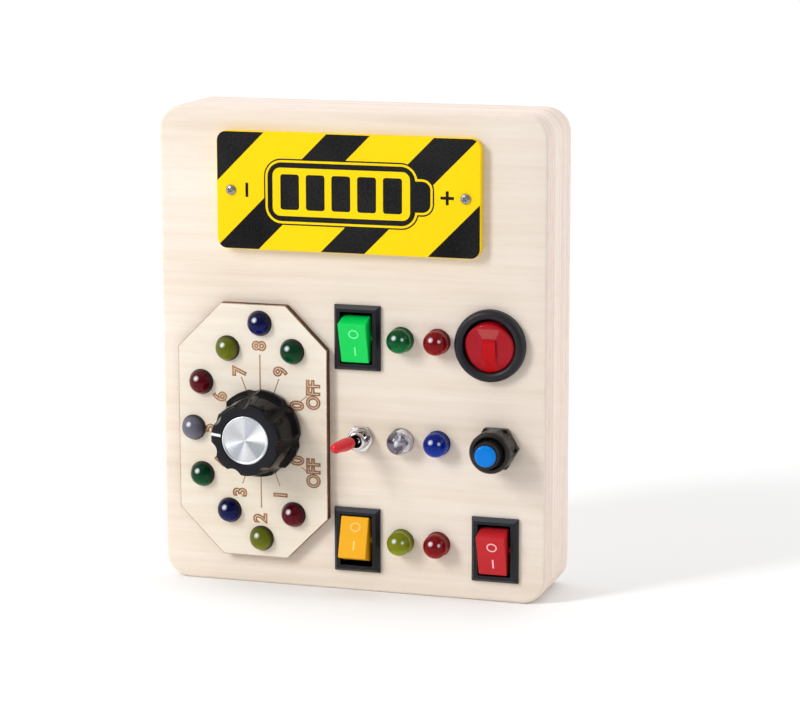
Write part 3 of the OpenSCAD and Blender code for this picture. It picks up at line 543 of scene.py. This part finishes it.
def bar_faces(sections, corners):
    """Faces of a bar whose vertices are given section by section, with closed ends."""
    faces = []
    for i in range(sections - 1):
        for k in range(corners):
            m = (k + 1) % corners
            faces.append([corners * i + k, corners * i + m, corners * (i + 1) + m, corners * (i + 1) + k])
    last = corners * (sections - 1)
    return faces + [list(range(corners)), [last + k for k in range(corners)]]


def rounded(w, h, r, steps=8):
    """Outline of a rectangle with round corners."""
    points = []
    for x, y, a in ((1, 1, 0), (-1, 1, 90), (-1, -1, 180), (1, -1, 270)):
        points += arc(x * (w / 2 - r), y * (h / 2 - r), r, a, a + 90, steps)
    return points


def clipped(points, keep):
    """The part of a convex outline inside another convex outline, both anticlockwise."""
    for a, b in zip(keep, keep[1:] + keep[:1]):
        edge = (b[0] - a[0], b[1] - a[1])

        def side(p):
            return edge[0] * (p[1] - a[1]) - edge[1] * (p[0] - a[0])

        kept = []
        for p, q in zip(points, points[1:] + points[:1]):
            sp, sq = side(p), side(q)
            if sp >= 0:
                kept.append(p)
            if sp * sq < 0:
                t = sp / (sp - sq)
                kept.append((p[0] + t * (q[0] - p[0]), p[1] + t * (q[1] - p[1])))
        points = kept
    return points


def place_piece(obj, body, replaced=()):
    bpy.context.scene.collection.objects.link(obj)
    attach(obj, body)
    if replaced:
        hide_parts(*replaced)
    return obj


def soften(obj, angle=32.0, bevel=0.0, segments=2):
    """Smooth shading up to an angle, and the sharper edges eased."""
    mesh = obj.data
    mesh.shade_smooth()
    mesh.set_sharp_from_angle(angle=math.radians(angle))
    if bevel:
        modifier = obj.modifiers.new("eased", "BEVEL")
        modifier.limit_method = "ANGLE"
        modifier.angle_limit = math.radians(angle)
        modifier.width = bevel
        modifier.segments = segments
        modifier.use_clamp_overlap = False
        modifier.harden_normals = True
    return obj


def mesh_of(name, shapes, frame_of, materials):
    """A mesh from (shape, placement, material number) in a frame."""
    bm = bmesh.new()
    for (verts, faces), placement, paint in shapes:
        matrix = frame_of @ placement
        made = [bm.verts.new(matrix @ Vector(v)) for v in verts]
        for corners in faces:
            face = bm.faces.new([made[i] for i in corners])
            face.material_index = paint
    bmesh.ops.recalc_face_normals(bm, faces=bm.faces)
    mesh = bpy.data.meshes.new(name)
    bm.to_mesh(mesh)
    bm.free()
    for material in materials:
        mesh.materials.append(paints[material])
    return mesh


def build(name, body, shapes, materials, replaced=(), angle=32.0, bevel=0.0):
    """One piece from (shape, placement, material number) in the panel frame."""
    mesh = mesh_of(name, shapes, PANEL, materials)
    obj = place_piece(bpy.data.objects.new(name, mesh), body, replaced)
    return soften(obj, angle, bevel)


def dressed(node, materials, bevel=0.0, segments=2, paint_of=None):
    """A copy of a CAD node with its edges eased, shown in the node's place."""
    mesh = nodes[node].data.copy()
    bm = bmesh.new()
    bm.from_mesh(mesh)
    bmesh.ops.remove_doubles(bm, verts=bm.verts, dist=2e-6)
    if bevel:
        bmesh.ops.dissolve_limit(bm, angle_limit=math.radians(0.6), verts=bm.verts, edges=bm.edges)
    for face in bm.faces:
        face.material_index = paint_of(face) if paint_of else 0
    mesh.materials.clear()
    for material in materials:
        mesh.materials.append(paints[material])
    bm.to_mesh(mesh)
    bm.free()
    obj = bpy.data.objects.new(node + "_finish", mesh)
    place_piece(obj, bodies[node], [node])
    return soften(obj, bevel=bevel, segments=segments)


# ---------- Wooden box ----------


def make_box():
    dressed("front_panel", ["front_ply"], bevel=0.00015)
    for ring in ("front_frame_ring", "rear_frame_ring"):
        dressed(ring, ["edge_ply"], bevel=0.0001, segments=1)
    dressed("back_panel", ["front_ply"])
    dressed("back_screws", ["screw_steel"], bevel=0.0001)


def make_sign():
    dressed("sign_plate", ["sign_print"], bevel=0.0001)
    dressed("sign_screws", ["screw_steel"], bevel=0.00008)
    black, yellow, ink = 0, 1, 0.03
    shapes = []

    def print_on(outline, height, paint, x=0.0, y=0.0):
        shapes.append((prism(outline, SIGN_T, SIGN_T + height), moved(x, SIGN_Y + y), paint))

    keep = rounded(2 * SIGN_PRINT_W, 2 * SIGN_PRINT_H, 3.0)
    for i in range(STRIPES):
        # A stripe lies between the lines x - y = a and x - y = b. The outer two fill their corners.
        a = STRIPE_FIRST + STRIPE_PITCH * i
        b = a + STRIPE_WIDTH
        if i == 0:
            a -= 6
        if i == STRIPES - 1:
            b += 8
        print_on(clipped([(a - 30, -30), (b - 30, -30), (b + 30, 30), (a + 30, 30)], keep), ink, black)
    # Minus on the left, plus on the right, of two bars at slightly different heights.
    print_on(rounded(0.95, 4.6, 0.2, 3), ink, black, -33.8, 0.2)
    for w, h in ((4.4, 0.95), (0.95, 4.4)):
        print_on(rounded(w, h, 0.15, 3), ink + 0.001 * w, black, 33.2)
    # A battery gauge: nested outlines of a cell and its cap, then the level bars.
    for step, (grow, paint) in enumerate(((2.9, black), (2.45, yellow), (1.7, black))):
        top = 0.045 + 0.012 * step
        print_on(rounded(GAUGE_W + 2 * grow, GAUGE_H + 2 * grow, 3 + grow), top, paint, GAUGE_X)
        print_on(rounded(5 + 2 * grow, 6.5 + 2 * grow, 1 + grow), top + 0.002, paint, GAUGE_X + 25.5)
    print_on(rounded(GAUGE_W, GAUGE_H, 2.6), 0.085, yellow, GAUGE_X)
    for i in range(5):
        print_on(rounded(6.3, 11.4, 0.9, 4), 0.1, black, GAUGE_X + (i - 2) * 8.6)
    build("sign_graphics", "case", shapes, ["sign_black", "sign_print"])


# ---------- Dial plate ----------


def dial_outline(inset):
    x, y, c = DIAL_HALF_W - inset, DIAL_HALF_H - inset, DIAL_CUT - 0.6 * inset
    return [
        (-x, y - c), (-x, c - y), (c - x, -y), (x - c + 1, -y),
        (x, c - 1 - y), (x, y - c + 1), (x - c + 1, y), (c - x, y),
    ]


def make_dial():
    def is_cut(face):
        return 1 if abs(face.normal.y) < 0.5 else 0

    plate = dressed("dial_plate", ["dial_ply", "char", "scorch"], 0.0001, paint_of=is_cut)
    plate.modifiers["eased"].material = 2
    z = DIAL_T
    centre = moved(*DIAL)
    shapes = [(ribbon(dial_outline(0.14), 0.16, z - 0.05, z + 0.006, True), moved(*DIAL_MIDDLE), 2)]
    for places in DIAL_LAMPS.values():
        for place in places:
            # A dark ring round each lamp's hole: painted shade of the gap between lamp and hole, in the brown of a
            # charred cut.
            ring = arc(0, 0, 4.1, 0, 352.5, 47)
            shapes.append((ribbon(ring, 0.2, z - 0.05, z + 0.008, True), moved(*place), 1))

    def tick(angle, r0, r1, width, paint=3):
        a = math.radians(angle)
        line = [(r0 * math.cos(a), r0 * math.sin(a)), (r1 * math.cos(a), r1 * math.sin(a))]
        shapes.append((ribbon(line, width, z - 0.05, z + 0.012), centre, paint))
        dot = [(x + line[1][0], y + line[1][1]) for x, y in arc(0, 0, 0.26, 0, 330, 11)]
        shapes.append((prism(dot, z - 0.05, z + 0.014), centre, 0))

    for angle in (90, -90):
        tick(angle, 12, 25.2, 0.42)
    for angle in (70, 110, -70, -110):
        tick(angle, 12, 18.6, 0.32)
    for angle in (142, -142):
        tick(angle, 12, 16.6, 0.32)
    away, lean = math.hypot(14.9, 11.7), math.degrees(math.atan2(11.7, 14.9))
    for angle in (lean, -lean):
        tick(angle, away - 1.2, away + 1.2, 0.26, 0)
    build("dial_marks", "case", shapes, ["engraved", "hole_gap_shade", "scorch", "tick"])
    words = [
        ("8", 0, 28.3), ("9", 7.2, 20.2), ("7", -6.9, 19.5), ("6", -13.8, 10.8), ("5", -18.0, 0), ("4", -13.4, -10.7),
        ("3", -7.2, -20.7), ("2", -0.2, -29), ("1", 6.9, -20.8), ("0", 12.8, 9.3), ("0", 12.7, -8.9),
        ("OFF", 18.4, 13.1), ("OFF", 18.3, -12.8),
    ]
    for number, (word, x, y) in enumerate(words):
        outline_word(f"dial_number_{number}", word, x, y)


def outline_word(name, word, x, y):
    """The outline of a number or word, turned a quarter to the left, burnt a little into the dial plate."""
    curve = bpy.data.curves.new(name, "FONT")
    curve.body = word
    curve.size = 6.1
    curve.align_x, curve.align_y = "CENTER", "CENTER"
    curve.fill_mode = "NONE"
    curve.bevel_depth = 0.29
    curve.bevel_resolution = 1
    curve.resolution_u = 5
    curve.offset = 0.1
    text = bpy.data.objects.new(name + "_text", curve)
    bpy.context.scene.collection.objects.link(text)
    graph = bpy.context.evaluated_depsgraph_get()
    mesh = bpy.data.meshes.new_from_object(text.evaluated_get(graph))
    bpy.data.objects.remove(text)
    length = max(v.co.x for v in mesh.vertices) - min(v.co.x for v in mesh.vertices)
    squeeze = 9.9 / length if len(word) > 1 else 1.0
    flat = Matrix.Diagonal((squeeze, 1, 0.12, 1))
    mesh.transform(PANEL @ moved(DIAL[0] + x, DIAL[1] + y, DIAL_T) @ turned(90) @ flat)
    mesh.materials.clear()
    mesh.materials.append(paints["engraved"])
    mesh.name = name
    place_piece(bpy.data.objects.new(name, mesh), "case")


# ---------- Selector knob ----------

KNOB_SIDE = [
    (SKIRT_R - 0.3, KNOB_BASE), (SKIRT_R - 0.08, KNOB_BASE + 0.12), (SKIRT_R, KNOB_BASE + 0.4),
    (SKIRT_R, KNOB_BASE + 2.3), (SKIRT_R - 0.08, KNOB_BASE + 2.62), (SKIRT_R - 0.3, KNOB_BASE + 2.9),
    (SKIRT_R - 0.8, KNOB_BASE + 3.3), (LOBE_R + 1.4, KNOB_BASE + 3.7), (LOBE_R + 1.15, KNOB_BASE + 4.1),
]
KNOB_SIDE += [(LOBE_R + 1.1 - 0.111 * i, KNOB_BASE + 4.5 + i) for i in range(9)]
KNOB_SIDE += [
    (LOBE_R + 0.04, KNOB_TOP - 0.6), (LOBE_R - 0.06, KNOB_TOP - 0.36),
    (LOBE_R - 0.26, KNOB_TOP - 0.14), (LOBE_R - 0.55, KNOB_TOP),
]


def knob_radius(blank, z, angle):
    """Radius of the grip at a height and angle, with the flutes' edges eased."""
    step = 2 * math.pi / FLUTES
    phi = abs((angle % step) - step / 2)
    slope = (LOBE_R + 1 - FLUTE_BOTTOM) / (KNOB_TOP - FLUTE_END)
    axis = FLUTE_BOTTOM + FLUTE_R + (KNOB_TOP - z) * slope
    a, b = FLUTE_R / math.cos(math.atan(slope)), FLUTE_R
    c, s = math.cos(phi), math.sin(phi)
    qa = (c / a) ** 2 + (s / b) ** 2
    qb = -2 * c * axis / a**2
    qc = (axis / a) ** 2 - 1
    root = qb * qb - 4 * qa * qc
    if root <= 0:
        return blank
    flute = (-qb - math.sqrt(root)) / (2 * qa)
    ease = 0.18
    gap = abs(flute - blank)
    low = min(flute, blank)
    if gap < ease:
        low -= (ease - gap) ** 2 / (4 * ease)
    return low


def make_knob():
    sides = 7 * 64
    verts, faces = [], []
    rings = [[(9.6, 7.4)] * sides, [(9.6, 4.0)] * sides]
    for r, z in KNOB_SIDE:
        rings.append([(knob_radius(r, z, a), z) for a in around(sides)])
    edge = rings[-1]
    for part in (0.5, 1.0):
        rings.append([(8.3 * part + r * (1 - part), KNOB_TOP) for r, _ in edge])
    for r, drop in ((8.12, 0.04), (7.95, 0.2), (7.95, 0.5), (3.1, 0.5)):
        rings.append([(r, KNOB_TOP - drop)] * sides)
    rings.append([(3.1, 7.4)] * sides)
    for ring in rings:
        verts += [(r * math.cos(a), r * math.sin(a), z) for (r, z), a in zip(ring, around(sides))]
    for k in range(len(rings)):
        base, after = k * sides, ((k + 1) % len(rings)) * sides
        for i in range(sides):
            j = (i + 1) % sides
            faces.append([base + i, base + j, after + j, after + i])
    turn = moved(*DIAL) @ turned(POINTER)
    shape = [((verts, faces), turn, 0)]
    knob = build("knob_grip", "selector", shape, ["knob_black", "knob_face"], ["knob"])
    for face in knob.data.polygons:
        if face.normal.y < -0.9 and face.center.y < -0.015 - (KNOB_TOP - 0.25) / 1000:
            face.material_index = 1
    line = [(8.4, KNOB_TOP + 0.02), (LOBE_R - 0.7, KNOB_TOP + 0.02)]
    for r, z in reversed(KNOB_SIDE):
        if z >= 13.6:
            line.append((knob_radius(r, z, 0.0) + 0.03, z + 0.01))
    verts = []
    for r, z in line:
        verts += [(r, -0.45, z), (r, 0.45, z), (r - 0.3, 0.45, z - 0.3), (r - 0.3, -0.45, z - 0.3)]
    shape = [((verts, bar_faces(len(line), 4)), turn, 0)]
    build("pointer_line", "selector", shape, ["pointer_white"], ["knob_pointer"])
    # The disc has its own frame, because its lines run round its middle.
    steps = [
        (0, -0.48), (7.84, -0.48), (7.84, -0.08), (7.74, 0.02), (7.5, 0.06),
        (7.3, 0.0), (7.2, -0.1), (6.9, -0.13), (0, -0.11),
    ]
    shape = [(lathe(steps, 128), moved(), 0)]
    mesh = mesh_of("knob_disc_spun", shape, Matrix.Scale(0.001, 4), ["spun_aluminium"])
    disc = bpy.data.objects.new("knob_disc_spun", mesh)
    centre = PANEL @ Vector((*DIAL, KNOB_TOP))
    disc.matrix_world = Matrix.Translation(centre) @ Matrix.Rotation(math.radians(90), 4, "X")
    place_piece(disc, "selector", ["knob_disc"])
    soften(disc, 40)


# ---------- Lamps ----------


def make_lamps():
    dome = LAMP_TOP - LAMP_R
    profile = [(0, -5.5), (4.7, -5.5), (4.7, -4.0), (LAMP_R, -4.0), (LAMP_R, 0)]
    profile += arc(0, dome, LAMP_R, 0, 90, 18)
    profile[-1] = (0, LAMP_TOP)
    for colour in DIAL_LAMPS:
        shapes = [(lathe(profile, 56), moved(*place), 0) for place in DIAL_LAMPS[colour]]
        shapes += [(lathe(profile, 56), moved(*place), 1) for place in PANEL_LAMPS[colour]]
        name = "lamp_" + colour
        panel_glass = "lamp_water_clear" if colour == "clear" else "lamp_panel_" + colour
        build(name + "_domes", "case", shapes, [name, panel_glass], [colour + "_lamps"])


# ---------- Switches ----------


def faces_up(face):
    """Material number of a bezel's face: its upper bevels get a lighter copy of the black, a painted sheen of the
    light they catch.
    """
    return 1 if face.normal.z > 0.2 and face.normal.y < -0.2 else 0


def make_rockers():
    """Rockers with one flat finger face, upright ends and a round pin through the middle."""
    crest, half, offset = 5.17, 4.7, -0.36
    side = [
        (-2.4, -2.0), (2.4, -2.0), (6.2, -1.9), (7.1, -1.4),
        (6.8, crest), (-6.8, crest), (-7.1, -1.4), (-6.2, -1.9),
    ]
    verts = [(x + offset, u, v) for x in (-half, half) for u, v in side]
    key = (verts, bar_faces(2, len(side)))
    pin = lathe([(0, -6.1), (1.2, -6.1), (1.2, 6.1), (0, 6.1)], 40)
    ring = ribbon([(1.5 * math.cos(a), 1.34 * math.sin(a)) for a in around(40)], 0.42, -0.1, 0.03, True)
    bar = prism(rounded(0.52, 3.1, 0.14, 3), -0.1, 0.03)
    for colour, (at, tilt) in ROCKERS.items():
        housing, body, paint = colour + "_switch_housing", colour + "_key", "rocker_" + colour
        # The upper bevels get the lighter copy of the black: a painted sheen.
        dressed(housing, ["switch_black", "switch_bevel_sheen"], 0.0002, paint_of=faces_up)
        pivot = moved(*at, ROCKER_PIVOT) @ turned(tilt, "X")
        shapes = [(key, pivot, 0), (pin, pivot @ turned(90, "Y"), 0)]
        build(colour + "_finger_key", body, shapes, [paint], [colour + "_rocker"], bevel=0.0003)
        marks = [(ring, pivot @ moved(0.05, 3.4, crest), 0), (bar, pivot @ moved(0.05, -2.65, crest), 0)]
        build(colour + "_marks", body, marks, ["mark_" + colour])


def smooth(value, start, end):
    t = min(1.0, max(0.0, (value - start) / (end - start)))
    return t * t * (3 - 2 * t)


LENS_R, LENS_CREST, LENS_DIP, RIB_HALF, RIB_END = 8.1, 4.15, 1.1, 2.0, 2.4


def lens_top(x, u):
    """Height of the round rocker's face over its pivot: a hollow, and a rib from the low end to past the middle."""
    hollow_r = (7.9**2 + LENS_DIP**2) / (2 * LENS_DIP)
    hollow = LENS_CREST - LENS_DIP + hollow_r - math.sqrt(hollow_r**2 - u * u)
    rib = (1 - smooth(abs(x), RIB_HALF - 0.05, RIB_HALF + 0.5)) * (1 - smooth(u, RIB_END - 0.1, RIB_END + 0.5))
    edge = smooth(math.hypot(x, u), LENS_R - 0.5, LENS_R)
    return hollow + rib * max(0.0, LENS_CREST - 0.35 - hollow) - 0.35 * edge


def make_round_switch():
    bead = arc(9.95, 1.65, 1.65, 136.7, 0, 24)
    profile = [(0, -7), (8.75, -7), (8.75, 2.7)] + bead + [(11.6, 0), (10, 0), (10, -14), (0, -14)]
    shape = [(lathe(profile, 128), moved(*ROUND_AT), 0)]
    build("round_switch_ring", "case", shape, ["ring_black"], ["round_switch_housing"])
    sides, steps = 120, 34
    verts, faces, rings = [(0, 0, lens_top(0, 0))], [], []
    for k in range(1, steps + 1):
        rings.append(len(verts))
        for a in around(sides):
            x, u = LENS_R * k / steps * math.cos(a), LENS_R * k / steps * math.sin(a)
            verts.append((x, u, lens_top(x, u)))
    for height in (2.0, 0.8, -0.5):
        rings.append(len(verts))
        verts += [(LENS_R * math.cos(a), LENS_R * math.sin(a), height) for a in around(sides)]
    for i in range(sides):
        j = (i + 1) % sides
        faces.append([0, rings[0] + i, rings[0] + j])
        for a, b in zip(rings, rings[1:]):
            faces.append([a + i, b + i, b + j, a + j])
    faces.append([rings[-1] + i for i in range(sides)])
    lean = moved(*ROUND_AT, ROUND_PIVOT) @ turned(ROUND_TILT, "X")
    shape, reds = [((verts, faces), lean, 0)], ["lens_red", "lens_rib", "lens_painted_reflection"]
    lens = build("round_lens", "round_key", shape, reds, ["round_rocker"], 38.0)
    home = (PANEL @ lean).inverted()
    for face in lens.data.polygons:
        x, u, v = home @ face.center
        if math.hypot(x, u) > LENS_R - 0.02 or v < 2.2:
            continue
        # The rib gets its own red; a pale trapezoid above the rib gets the painted reflection.
        if u < RIB_END + 0.1 and abs(x) < RIB_HALF:
            face.material_index = 1
        elif 3.0 < u < 6.4 and abs(x) < 2.2 + 0.45 * (u - 3.0):
            face.material_index = 2


def make_toggle():
    at = moved(*TOGGLE_AT)
    thread = []
    z = 0.05
    while z < 4.4:
        thread += [(3.0, z), (2.86, z + 0.22)]
        z += 0.44
    profile = [(0, -4), (3.0, -4)] + thread + [(3.0, 4.55), (3.0, 4.8)] + arc(2.3, 4.8, 0.7, 0, 90, 8)
    profile += [(2.1, 5.5), (2.05, 5.4), (2.05, -3.9), (0, -3.9)]
    build("toggle_bushing_thread", "case", [(lathe(profile), at, 0)], ["chrome"], ["toggle_bushing"])
    mouth = [(1.2, -1.2), (2.03, -1.2), (2.03, 5.36), (2.0, 5.36), (2.0, 3.0), (1.2, 3.0)]
    build("toggle_mouth", "case", [(lathe(mouth), at, 0)], ["button_black"])
    dressed("toggle_nut", ["chrome"], bevel=0.00015)
    lean = moved(*TOGGLE_AT, 2.5) @ turned(-LEVER_TILT, "Y")
    rod = [(0, -5.4), (0.6, -5.4), (0.85, -2.2)] + arc(0, 0, 2.1, -60, 60, 12)
    rod += [(1.05, 5.1), (1.2, 5.1), (1.3, LEVER_LEN - 2), (0, LEVER_LEN - 2)]
    build("toggle_lever_rod", "lever", [(lathe(rod), lean, 0)], ["chrome"], ["toggle_lever"])
    tip_r, root_r = 1.75, 2.15
    sleeve = [(1.25, 5.12), (root_r - 0.55, 5.1), (root_r - 0.25, 5.3), (root_r - 0.06, 5.8)]
    sleeve += [(root_r, 6.6), (root_r, 8.2)]
    tip_z = LEVER_LEN - tip_r
    sleeve += [(root_r - (root_r - tip_r) * smooth(z, 8.2, tip_z), z) for z in (9.5, 11.0, 12.5, 13.6)]
    sleeve += arc(0, tip_z, tip_r, 0, 90, 12)
    sleeve[-1] = (0, LEVER_LEN)
    build("toggle_sleeve_skin", "lever", [(lathe(sleeve), lean, 0)], ["sleeve_red"], ["toggle_sleeve"])


def make_button():
    dressed("button_housing", ["button_black"], bevel=0.0002)
    foot, seat, top, r = 5.05, 13.2, 14.7, 4.35
    at = moved(*BUTTON_AT)
    plunger = [
        (0, foot), (4.8, foot), (4.8, foot + 1.4), (r, foot + 1.4), (r, seat - 0.15), (r - 0.12, seat), (0, seat)
    ]
    # The return spring is squeezed between the housing's floor and the plunger's foot.
    floor, wire, coil_r, turns, steps, corners = -11.0, 0.35, 3.2, 7, 240, 8
    verts = []
    for i in range(steps + 1):
        turn = 2 * turns * math.pi * i / steps
        rise = floor + wire + (foot - floor - 2 * wire) * smooth(i / steps, 0.06, 0.94)
        for a in around(corners):
            out = coil_r + wire * math.cos(a)
            verts.append((out * math.cos(turn), out * math.sin(turn), rise + wire * math.sin(a)))
    shape = [((verts, bar_faces(steps + 1, corners)), at, 0)]
    spring = build("button_coil", "case", shape, ["screw_steel"], ["button_spring"])
    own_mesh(spring)
    shape = [(lathe(plunger, 80), at, 0)]
    build("button_plunger_rod", "button", shape, ["button_black"], ["button_plunger"])
    # Known fault: the cap's radius should be the plunger's 4.35, as in part.scad.
    cap_r = 3.4475
    cap = [(0, seat), (cap_r - 0.1, seat), (cap_r, seat + 0.1), (cap_r, top - 0.95)]
    cap += arc(cap_r - 0.8, top - 0.9, 0.8, 0, 70, 8) + [(2.4, top - 0.07), (1.2, top - 0.02), (0, top)]
    build("button_cap_dome", "button", [(lathe(cap, 80), at, 0)], ["cap_blue"], ["button_cap"])


def make_back():
    dressed("battery_cover", ["bay_black"], bevel=0.0002)
    dressed("battery_tray", ["bay_black"])
    dressed("battery_cover_screw", ["screw_steel"], bevel=0.0001)


def paint_the_rest():
    """Nodes inside the box keep their CAD shape and get their own material."""
    slots = {s["node"]: s["material_slot"] for s in frame["record"]["subparts"]}
    for name, node in nodes.items():
        if node.hide_render:
            continue
        node.data.materials.clear()
        node.data.materials.append(paints[slots[name]])


# ---------- Stage ----------


# The camera fitted to the box's corners in the photograph.
CAMERA_AT, CAMERA_TURN = (0.289988, -0.883151, 0.251312), (-0.305064, -0.188979, -0.001917)
FOCAL_PIXELS, PHOTO_WIDTH, SENSOR_MM = 2897.42, 800, 36


def make_camera():
    yaw, pitch, roll = CAMERA_TURN
    forward = Vector((math.sin(yaw) * math.cos(pitch), math.cos(yaw) * math.cos(pitch), math.sin(pitch)))
    camera = bpy.data.objects.new("camera", bpy.data.cameras.new("camera"))
    camera.data.lens = FOCAL_PIXELS / PHOTO_WIDTH * SENSOR_MM
    camera.data.clip_end = 60
    camera.rotation_mode = "QUATERNION"
    camera.rotation_quaternion = forward.to_track_quat("-Z", "Y") @ Matrix.Rotation(roll, 3, "Z").to_quaternion()
    camera.location = CAMERA_AT
    bpy.context.scene.collection.objects.link(camera)
    bpy.context.scene.camera = camera


# Light: the room's strength at the horizon behind, what it gains upward, to the front and to the right,
# and the floor's glow far away.
ROOM, ROOM_UP, ROOM_FRONT, ROOM_RIGHT, FAR_GLOW = 1.08, 0.06, -0.8, -0.45, 0.26
KEY_POWER, FILL_POWER = 11.8, 13.5


def soft_box(name, direction, distance, width, height, power, target=(0, -0.015, 0.075)):
    light = bpy.data.lights.new(name, "AREA")
    light.shape = "RECTANGLE"
    light.size, light.size_y, light.energy = width, height, power
    lamp = bpy.data.objects.new(name, light)
    way = Vector(direction).normalized()
    lamp.location = Vector(target) + way * distance
    lamp.rotation_mode = "QUATERNION"
    lamp.rotation_quaternion = (-way).to_track_quat("-Z", "Y")
    bpy.context.scene.collection.objects.link(lamp)


def make_floor():
    rim = arc(0, 0, 14, 0, 352.5, 47)
    mesh = bpy.data.meshes.new("floor")
    mesh.from_pydata([(x, y, 0) for x, y in rim], [], [list(range(48))])
    material, tree, shader, place = start("floor_white")
    tone = noise(tree, place, (3, 3, 3), 2)
    pale = ramp(tree, tone, [(0.3, (0.91, 0.91, 0.91)), (0.7, (0.93, 0.93, 0.93))])
    # The part ahead of the board is darker, because the glossy fronts mirror it.
    ahead = outward_part(tree, place)
    far = spread(tree, ahead, 0.0, 1.0, 0.3, 0.5)
    tree.links.new(mix(tree, far, pale, (0.3, 0.3, 0.3, 1)), shader.inputs["Base Color"])
    radius = add(tree, "VectorMath", {0: place}, operation="LENGTH").outputs["Value"]
    tree.links.new(spread(tree, radius, 0.0, FAR_GLOW, 0.3, 1.3), shader.inputs["Emission Strength"])
    shader.inputs["Emission Color"].default_value = (1, 1, 1, 1)
    set_sockets(shader, Roughness=0.9, Specular_IOR_Level=0.1)
    mesh.materials.append(material)
    floor = bpy.data.objects.new("floor", mesh)
    bpy.context.scene.collection.objects.link(floor)


def make_world():
    """A pale room whose light falls off in front of the board and to its right."""
    world = bpy.data.worlds.new("studio")
    world.use_nodes = True
    tree = world.node_tree
    tree.nodes["Background"].inputs["Color"].default_value = (1, 1, 1, 1)
    way = add(tree, "SeparateXYZ", {0: add(tree, "TexCoord").outputs["Generated"]})
    front = spread(tree, way.outputs["Y"], 0.0, ROOM_FRONT, 0.0, -1.0)
    right = spread(tree, way.outputs["X"], 0.0, ROOM_RIGHT, 0.0, 1.0)
    up = spread(tree, way.outputs["Z"], ROOM, ROOM + ROOM_UP, 0.0, 1.0)
    total = math_node(tree, "ADD", math_node(tree, "ADD", front, right), up)
    tree.links.new(total, tree.nodes["Background"].inputs["Strength"])
    bpy.context.scene.world = world


def make_stage():
    make_floor()
    make_world()
    bpy.context.scene.view_settings.view_transform = "Standard"
    soft_box("key", (-0.58, -0.64, 0.49), 1.4, 0.34, 0.66, KEY_POWER)
    soft_box("fill", (0.89, 0.1, 0.44), 2.5, 0.5, 1.1, FILL_POWER)


make_box()
make_sign()
make_dial()
make_knob()
make_lamps()
make_rockers()
make_round_switch()
make_toggle()
make_button()
make_back()
paint_the_rest()
make_camera()
make_stage()
